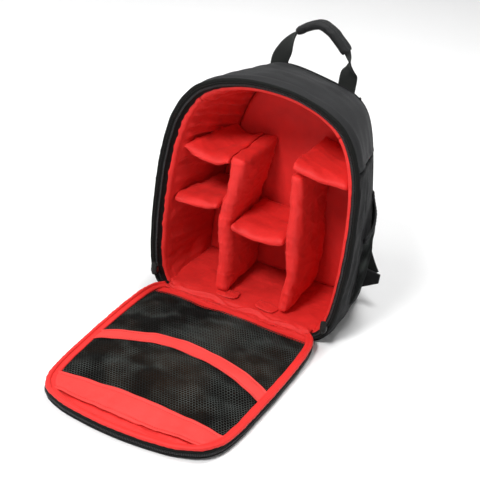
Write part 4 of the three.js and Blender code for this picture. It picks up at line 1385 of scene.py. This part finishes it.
def build_back():
    back_padding()
    low, high = corners_of("yoke_patch")
    x, z = np.linspace(low[0], high[0], 70), np.linspace(low[2], high[2], 18)
    across, up = np.meshgrid(x, z, indexing="ij")
    outer = np.stack([across, back_y(up) + 5.6 + 0.35 * ripple(across, up, 24, 172), up], -1)
    inner = np.stack([across, back_y(up) + 3.1, up], -1)
    tube("yoke_patch_cloth", sheet_rings(outer, inner), "yoke_patch", finish("shell"))
    hem_stitches("yoke_patch_stitches", outer)


def hem_stitches(name, outer):
    """Stitches near the lower and the upper edge of a patch on the back."""
    stitches(name, [(outer[2:-2, k] + [0, 0.2, 0], (0, 1, 0)) for k in (2, -3)])


def back_padding():
    """The air mesh pad, with a sewn channel across it and three fanned ones along it."""
    low, high = corners_of("back_pad")
    bottom, top, half = low[2], high[2], high[0]
    across, up = np.meshgrid(np.linspace(-half, half, 90), np.linspace(bottom, top, 104), indexing="ij")
    from_side, from_end = half - np.abs(across), np.minimum(up - bottom, top - up)
    edge = np.minimum(from_side, from_end)
    corner = np.minimum(from_side, 18) + np.minimum(from_end, 18)
    high_at = 10.5 * np.sqrt(smooth(0, 9, np.minimum(edge, corner - 8))) + 0.3
    for channel in (-44.0, 0.0, 44.0):
        fan = 10 * np.sign(channel) * ((up - bottom) / 208 - 0.5)
        high_at -= 4.5 * bell(across - channel - fan, 3.2) * smooth(6, 16, edge)
    high_at -= 3.5 * bell(up - (bottom + top) / 2, 3.0) * smooth(6, 16, edge)
    high_at += 0.4 * ripple(across, up, 30, 171)
    base = back_y(up) + 2.9
    outer = np.stack([across, base + np.maximum(high_at, 0.6), up], -1)
    inner = np.stack([across, base + 0.2, up], -1)
    squeeze = np.clip((8 - corner) / 8, 0, 1)
    for grid in (outer, inner):
        grid[..., 0] -= np.sign(across) * squeeze * 5
    pad = tube("back_pad_mesh", sheet_rings(outer, inner), "back_pad", finish("air_mesh"))


STRAP_COURSE = [  # across and up as shares of the back, then off it and width as shares of the strap's width
    (0.33, 0.91, 0.19, 0.9), (0.335, 0.85, 0.27, 0.95), (0.36, 0.75, 0.58, 1), (0.41, 0.61, 0.74, 1),
    (0.49, 0.48, 0.74, 1), (0.64, 0.36, 0.6, 0.92), (0.73, 0.275, 0.46, 0.7),
]
STRAP_WIDE, STRAP_THICK = 58.0, 12.0
BEHIND = np.array([0, 1.0, 0])
WING = {  # from the middle of the back to its root and its tip, then heights
    "root": 92.0, "reach": 142.0, "foot": 3.0, "top": 52.0, "tip": 38.0, "half": 6.0,
}
WING_OFF, WING_WALL = 1.2, 3.0
STRAP_WEB, HANDLE_WEB = 25.0, 24.0  # widths of webbing
HANDLE_HIGH = 65.0


def strap_line(side, count):
    rows = curve_through(STRAP_COURSE)(np.linspace(0, 6, count))
    z = rows[:, 1] * BACK_HIGH
    y = back_y(z) + BACK_CLOTH + rows[:, 2] * STRAP_WIDE
    points = np.stack([side * rows[:, 0] * BACK_HALF, y, z], -1)
    return points, rows[:, 3] * STRAP_WIDE


def frames_along(points):
    """Direction across the strap and out of it, at each point."""
    run = headings(points)
    across = unit(np.cross(BEHIND, run))
    return across, np.cross(run, across)


def build_straps():
    for name, side in (("left", -1), ("right", 1)):
        points, wide = strap_line(side, 90)
        across, normal = frames_along(points)
        u, v = rounded(circle(44), 0.55, 0.75)
        share = np.linspace(0, 1, 90)
        thick = STRAP_THICK * (0.45 + 0.55 * smooth(0, 0.12, share) * smooth(1, 0.9, share))
        length = lengths(points)
        pinch = 1 - 0.35 * bell(np.abs(u) - 0.86, 0.05)
        wrinkle = 0.25 * ripple(length[:, None], (u * 29)[None, :], 18, 181 + side) * np.sign(v)
        out = v * pinch * thick[:, None] / 2 + wrinkle
        rings = points[:, None] + across[:, None] * (u * wide[:, None] / 2)[..., None]
        rings = rings + normal[:, None] * out[..., None]
        pad = tube("strap_pad_%s_foam" % name, rings, "strap_pad_" + name, finish("shell"))
        edge_binding(name, points, across, wide)
        sewn = []
        for k, way in ((6, 1), (16, 1), (28, -1), (38, -1)):
            ups = normal[3:-3] * way
            sewn.append((rings[3:-3, k] + ups * 0.1, ups))
        stitches("strap_pad_%s_stitches" % name, sewn)
        buckle = rounded_copy("ladder_buckle_%s_frame" % name, "ladder_buckle_" + name, 1.1, 3)
        settle(buckle, "ladder_buckle_" + name, finish("plastic"))
        strap_web(name, side)
        wing(name, side)


def edge_binding(name, points, across, wide):
    """Tape sewn round the strap's edges."""
    count, turn, last = 12, circle(12), len(points) - 1
    out = np.cross(headings(points), across)
    parts = []
    for edge in (-1, 1):
        middle = points + across * (wide / 2 * edge - edge * 0.6)[:, None]
        rings = middle[:, None] + across[:, None] * (np.cos(turn)[:, None] * 1.9)
        rings = rings + out[:, None] * (np.sin(turn)[:, None] * 2.6)
        faces = skin_faces(last + 1, count) + [list(range(count)), [last * count + k for k in range(count)]]
        parts.append((rings.reshape(-1, 3), faces))
    joined, faces = join_parts(parts)
    make_piece("strap_binding_" + name, joined, faces, None, finish("webbing"), joined[:, [2, 0]])


def web_ring(middle, across, normal, width):
    """Points round one section of flat webbing."""
    u, v = rounded(circle(20), 0.25, 0.6)
    return middle + across * (u[:, None] * width / 2) + normal * (v[:, None] * WEB_WALL / 2)


def strap_web(name, side):
    """Webbing from the ladder buckle to the wing at the bottom corner."""
    points, _ = strap_line(side, 90)
    end, z = points[-1], WING["tip"]
    y = back_y(z) + BACK_CLOTH + WING_OFF + WING_WALL + WEB_WALL / 2
    reach = np.array([side * (WING["reach"] - STRAP_WEB / 2), y, z]) - end
    long = np.linalg.norm(reach)
    run = reach / long
    across = unit(np.cross(BEHIND, run))
    normal = np.cross(run, across)
    off = 3.8 if normal[1] > 0 else -3.8  # it leaves the buckle on the side away from the back
    course = [(17.6, off), (30.6, off), (42.6, off * 0.4), (long * 0.85, 0.0), (long, 0.0)]
    dense = curve_through(course)(np.linspace(0, 4, 40))
    middle = end + run * dense[:, :1] + normal * dense[:, 1:]
    rings = np.array([web_ring(m, across, normal, STRAP_WEB) for m in middle])
    tube("strap_webbing_%s_tape" % name, rings, "strap_webbing_" + name, finish("webbing"))


def wing(name, side):
    """Doubled cloth triangle at the bottom corner that holds the webbing."""
    share, up = np.meshgrid(np.linspace(0, 1, 34), np.linspace(0, 1, 26), indexing="ij")
    x = side * lerp(WING["root"], WING["reach"], share)
    low = lerp(WING["foot"], WING["tip"] - WING["half"], share)
    z = lerp(low, lerp(WING["top"], WING["tip"] + WING["half"], share), up)
    puff = 0.5 * ripple(x, z, 16, 191 + side) + np.sin(up * math.pi) * (1 - share)
    outer = np.stack([x, back_y(z) + 6.0 + puff * 0.6, z], -1)
    inner = np.stack([x, back_y(z) + 3.0 + puff * 0.2, z], -1)
    node = "strap_wing_" + name
    tube(node + "_cloth", sheet_rings(outer, inner), node, finish("shell"))
    hem_stitches(node + "_stitches", outer)


# Across and up, as shares of the back's half width and of the handle's height. Then quarter turns and width.
HANDLE_LEFT = [
    (-0.4, -0.3, 0, 1), (-0.4, 0, 0, 1), (-0.355, 0.23, 0.15, 0.95), (-0.295, 0.47, 0.55, 0.85),
    (-0.226, 0.668, 1, 0.75),
]
HANDLE_GRIP = [(-0.22, 0.68), (-0.11, 0.82), (0.02, 0.91), (0.14, 0.83), (0.25, 0.67), (0.345, 0.5)]
HANDLE_RIGHT = [
    (0.35, 0.489, -1, 0.75), (0.385, 0.36, -0.85, 0.8), (0.4, 0.2, -0.5, 0.9), (0.4, 0.02, 0, 1),
    (0.4, -0.3, 0, 1),
]
LEG_OVERLAP = 4.0  # how far a leg runs into the grip


def handle_point(rows):
    across, rise = rows[..., 0], rows[..., 1]
    z = BACK_HIGH + rise * HANDLE_HIGH
    y = np.where(rise < 0, back_y(z), back_y(BACK_HIGH)) + BACK_CLOTH + 0.6 + WEB_WALL / 2
    return np.stack([across * BACK_HALF, y, z], -1)


def build_handle():
    for name, table in (("left", HANDLE_LEFT), ("right", HANDLE_RIGHT)):
        rows = curve_through(table)(np.linspace(0, 4, 44))
        points = handle_point(rows)
        if name == "right":
            inward = unit(points[0] - points[1]) * LEG_OVERLAP
            extra = [points[0] + inward, points[0] + inward * 0.5]
            points, rows = np.vstack([extra, points]), np.vstack([rows[:1], rows[:1], rows])
        else:
            inward = unit(points[-1] - points[-2]) * LEG_OVERLAP
            extra = [points[-1] + inward * 0.5, points[-1] + inward]
            points, rows = np.vstack([points, extra]), np.vstack([rows, rows[-1:], rows[-1:]])
        run, angle = headings(points), rows[:, 2:3] * math.pi / 2
        across = unit(np.cross(run, BEHIND)) * np.cos(angle) + BEHIND * np.sin(angle)
        sections = zip(points, across, np.cross(run, across), rows[:, 3] * HANDLE_WEB)
        rings = np.array([web_ring(*section) for section in sections])
        tube("handle_leg_%s_webbing" % name, rings, "handle_leg_" + name, finish("webbing"))
    grip()


def grip():
    """Padded cloth sleeve rolled round the webbing, with its lapped edge outside."""
    rows = curve_through(HANDLE_GRIP)(np.linspace(0, 5, 70))
    points = handle_point(rows)
    normal = np.cross(headings(points), BEHIND)
    turn, share = circle(40), np.linspace(0, 1, 70)
    u, v = rounded(turn, 0.75, 0.85)
    lap = 1 + 0.09 * bell(turn - 2.35, 0.6) - 0.1 * bell(turn - 1.6, 0.12)
    end = 0.86 + 0.14 * np.sqrt(smooth(0, 0.05, share) * smooth(1, 0.95, share))
    wrinkle = 1 + 0.03 * ripple(lengths(points)[:, None], turn[None, :] * 6, 9, 201)
    wide, high = (half * lap * end[:, None] * wrinkle for half in (12 * u, 5.6 * v))
    rings = points[:, None] + BEHIND * wide[..., None] + normal[:, None] * high[..., None]
    piece = tube("handle_grip_sleeve", rings, "handle_grip", finish("shell"))
    stitches("handle_grip_stitches", [(rings[3:-3, 12] + normal[3:-3] * 0.15, normal[3:-3])])


# Stage


CAMERA_AXES = (0.89206, 0.43925, 0.10626), (-0.29663, 0.39173, 0.87096), (0.34094, -0.80847, 0.47974)
CAMERA_SPOT = (0.49431, -1.25786, 0.81404)
FOCAL_PIXELS, FRAME_PIXELS, SENSOR = 1174.453, 480, 36
LAMPS = (  # name, where it is and aims at, its size in metres and its power in watts
    ("key", (-0.35, -1.5, 1.85), (0, -0.05, 0.12), 0.6, 40),
    ("side", (-1.5, -0.7, 1.6), (0, -0.05, 0.12), 0.9, 12),
    ("top", (0.1, 0.45, 2.1), (0, 0, 0.2), 0.8, 32),
)


def build_stage():
    scene = bpy.context.scene
    scene.view_settings.view_transform = "Standard"
    camera = linked("camera", bpy.data.cameras.new("camera"))
    scene.camera = camera
    turn = Matrix(CAMERA_AXES).transposed().to_4x4()
    camera.matrix_world = Matrix.Translation(Vector(CAMERA_SPOT)) @ turn
    camera.data.sensor_width = SENSOR
    camera.data.lens = FOCAL_PIXELS / FRAME_PIXELS * SENSOR
    camera.data.clip_start = 0.05
    studio_bowl()
    world = bpy.data.worlds.new("studio")
    scene.world = world
    world.use_nodes = True
    background = world.node_tree.nodes["Background"]
    background.inputs[0].default_value = (1, 1, 1, 1)
    background.inputs[1].default_value = scene.backpack_colours.room_light
    for name, spot, aim, size, power in LAMPS:
        light = bpy.data.lights.new(name, "AREA")
        light.shape = "DISK"
        light.size = size
        light.energy = power
        lamp = linked(name, light)
        lamp.location = spot
        lamp.rotation_euler = (Vector(aim) - Vector(spot)).to_track_quat("-Z", "Y").to_euler()


def studio_bowl():
    """The floor: flat, then bent up all round, in metres."""
    flat, bend, rise, around = 2.6, 1.0, 2.2, 64
    profile = [(flat * share, 0.0) for share in (0.001, 0.2, 0.5, 1)]
    for angle in np.linspace(0.15, math.pi / 2, 10):
        profile.append((flat + bend * math.sin(angle), bend - bend * math.cos(angle)))
    profile.append((flat + bend, bend + rise))
    points = [(r * math.cos(a), r * math.sin(a), z) for r, z in profile for a in circle(around)]
    mesh = bpy.data.meshes.new("studio_floor")
    mesh.from_pydata(points, [], skin_faces(len(profile), around) + [list(range(around))])
    mesh.polygons.foreach_set("use_smooth", [True] * len(mesh.polygons))
    mesh.materials.append(finish("floor"))
    linked("studio_floor", mesh)


# Add-on


class BackpackSizes(bpy.types.PropertyGroup):
    """Sizes that a user may change."""

    mesh_step: FloatProperty(
        name="Mesh step", description="Distance between the shell's points",
        default=0.0032, min=0.002, max=0.01, unit="LENGTH",
    )
    shell_fold: FloatProperty(
        name="Shell folds", description="Depth of the shell's soft folds",
        default=0.0016, min=0, max=0.005, unit="LENGTH",
    )
    tooth_pitch: FloatProperty(
        name="Zip pitch", description="Distance between two zip teeth",
        default=0.0019, min=0.001, max=0.004, unit="LENGTH",
    )
    net_pitch: FloatProperty(
        name="Net pitch", description="Distance between two cells of the nets",
        default=0.0036, min=0.002, max=0.01, unit="LENGTH",
    )
    net_strand: FloatProperty(
        name="Net strand", description="Thickness of the nets' strands",
        default=0.00085, min=0.0003, max=0.002, unit="LENGTH",
    )


class BackpackColours(bpy.types.PropertyGroup):
    """Colours of the finishes, and the room's brightness."""

    shell: FloatVectorProperty(
        name="Shell", description="Woven shell",
        subtype="COLOR", default=(0.0125, 0.0128, 0.0134), min=0, max=1,
    )
    lining: FloatVectorProperty(
        name="Lining", description="Lining, piping and bands",
        subtype="COLOR", default=(0.74, 0.022, 0.019), min=0, max=1,
    )
    band: FloatVectorProperty(
        name="Bands", description="Bands across the front panel",
        subtype="COLOR", default=(0.72, 0.042, 0.036), min=0, max=1,
    )
    backing: FloatVectorProperty(
        name="Pocket backing", description="Cloth behind the nets",
        subtype="COLOR", default=(0.026, 0.014, 0.008), min=0, max=1,
    )
    net: FloatVectorProperty(
        name="Net", description="Knitted nets",
        subtype="COLOR", default=(0.026, 0.030, 0.028), min=0, max=1,
    )
    webbing: FloatVectorProperty(
        name="Webbing", description="Tapes and straps",
        subtype="COLOR", default=(0.013, 0.0145, 0.0135), min=0, max=1,
    )
    plastic: FloatVectorProperty(
        name="Plastic", description="Buckles and zip",
        subtype="COLOR", default=(0.012, 0.012, 0.013), min=0, max=1,
    )
    floor: FloatVectorProperty(
        name="Floor", description="Studio floor",
        subtype="COLOR", default=(0.93, 0.93, 0.93), min=0, max=1,
    )
    room_light: FloatProperty(
        name="Room light", description="Brightness of the room",
        default=0.14, min=0, max=5,
    )


class BackpackOperator:
    """What the building operators share."""

    bl_options = {"REGISTER", "UNDO"}


class BACKPACK_OT_stage(BackpackOperator, bpy.types.Operator):
    """Set up the camera, the floor and the lights"""

    bl_idname = "backpack.stage"
    bl_label = "Stage"

    def execute(self, context):
        build_stage()
        return {"FINISHED"}


class BACKPACK_OT_shell(BackpackOperator, bpy.types.Operator):
    """Make the shell's side, top, back and floor panels"""

    bl_idname = "backpack.shell"
    bl_label = "Shell"

    def execute(self, context):
        build_shell()
        return {"FINISHED"}


class BACKPACK_OT_lining(BackpackOperator, bpy.types.Operator):
    """Make the padded lining"""

    bl_idname = "backpack.lining"
    bl_label = "Lining"

    def execute(self, context):
        build_lining()
        return {"FINISHED"}


class BACKPACK_OT_zip(BackpackOperator, bpy.types.Operator):
    """Make the zip round the opening, its sliders and pulls"""

    bl_idname = "backpack.zip"
    bl_label = "Zip"

    def execute(self, context):
        build_zip()
        return {"FINISHED"}


class BACKPACK_OT_dividers(BackpackOperator, bpy.types.Operator):
    """Make the padded dividers and their flaps"""

    bl_idname = "backpack.dividers"
    bl_label = "Dividers"

    def execute(self, context):
        build_dividers()
        return {"FINISHED"}


class BACKPACK_OT_front_panel(BackpackOperator, bpy.types.Operator):
    """Make the front panel's base, rim, padding and piping"""

    bl_idname = "backpack.front_panel"
    bl_label = "Front Panel"

    def execute(self, context):
        build_lid_panel()
        return {"FINISHED"}


class BACKPACK_OT_net_pockets(BackpackOperator, bpy.types.Operator):
    """Make the front panel's nets and cloth bands"""

    bl_idname = "backpack.net_pockets"
    bl_label = "Net Pockets"

    def execute(self, context):
        build_lid_pockets()
        return {"FINISHED"}


class BACKPACK_OT_hinge(BackpackOperator, bpy.types.Operator):
    """Make the cloth between the body and the front panel"""

    bl_idname = "backpack.hinge"
    bl_label = "Hinge Cloth"

    def execute(self, context):
        build_hinge()
        return {"FINISHED"}


class BACKPACK_OT_side_pockets(BackpackOperator, bpy.types.Operator):
    """Make the side pockets of net"""

    bl_idname = "backpack.side_pockets"
    bl_label = "Side Pockets"

    def execute(self, context):
        build_side_pockets()
        return {"FINISHED"}


class BACKPACK_OT_back(BackpackOperator, bpy.types.Operator):
    """Make the back pad and the yoke patch"""

    bl_idname = "backpack.back"
    bl_label = "Back"

    def execute(self, context):
        build_back()
        return {"FINISHED"}


class BACKPACK_OT_straps(BackpackOperator, bpy.types.Operator):
    """Make the shoulder straps, their buckles, webbing and wings"""

    bl_idname = "backpack.straps"
    bl_label = "Shoulder Straps"

    def execute(self, context):
        build_straps()
        return {"FINISHED"}


class BACKPACK_OT_handle(BackpackOperator, bpy.types.Operator):
    """Make the grab handle"""

    bl_idname = "backpack.handle"
    bl_label = "Grab Handle"

    def execute(self, context):
        build_handle()
        return {"FINISHED"}


OPERATORS = (
    BACKPACK_OT_stage, BACKPACK_OT_shell, BACKPACK_OT_lining, BACKPACK_OT_zip, BACKPACK_OT_dividers,
    BACKPACK_OT_front_panel, BACKPACK_OT_net_pockets, BACKPACK_OT_hinge, BACKPACK_OT_side_pockets,
    BACKPACK_OT_back, BACKPACK_OT_straps, BACKPACK_OT_handle,
)


class BACKPACK_PT_panel(bpy.types.Panel):
    """The backpack's sizes, colours and building steps"""

    bl_idname = "BACKPACK_PT_panel"
    bl_label = "Backpack"
    bl_space_type = "VIEW_3D"
    bl_region_type = "UI"
    bl_category = "Backpack"

    def draw(self, context):
        for group in (context.scene.backpack_sizes, context.scene.backpack_colours):
            box = self.layout.box()
            for key in group.bl_rna.properties.keys():
                if key not in ("rna_type", "name"):
                    box.prop(group, key)
        for made in OPERATORS:
            self.layout.operator(made.bl_idname)


CLASSES = (BackpackSizes, BackpackColours, *OPERATORS, BACKPACK_PT_panel)


def register():
    for made in CLASSES:
        bpy.utils.register_class(made)
    bpy.types.Scene.backpack_sizes = PointerProperty(type=BackpackSizes)
    bpy.types.Scene.backpack_colours = PointerProperty(type=BackpackColours)


def unregister():
    del bpy.types.Scene.backpack_colours
    del bpy.types.Scene.backpack_sizes
    for made in reversed(CLASSES):
        bpy.utils.unregister_class(made)


def main():
    register()
    for made in OPERATORS:
        getattr(bpy.ops.backpack, made.bl_idname.split(".")[1])()


if __name__ == "__main__":
    main()
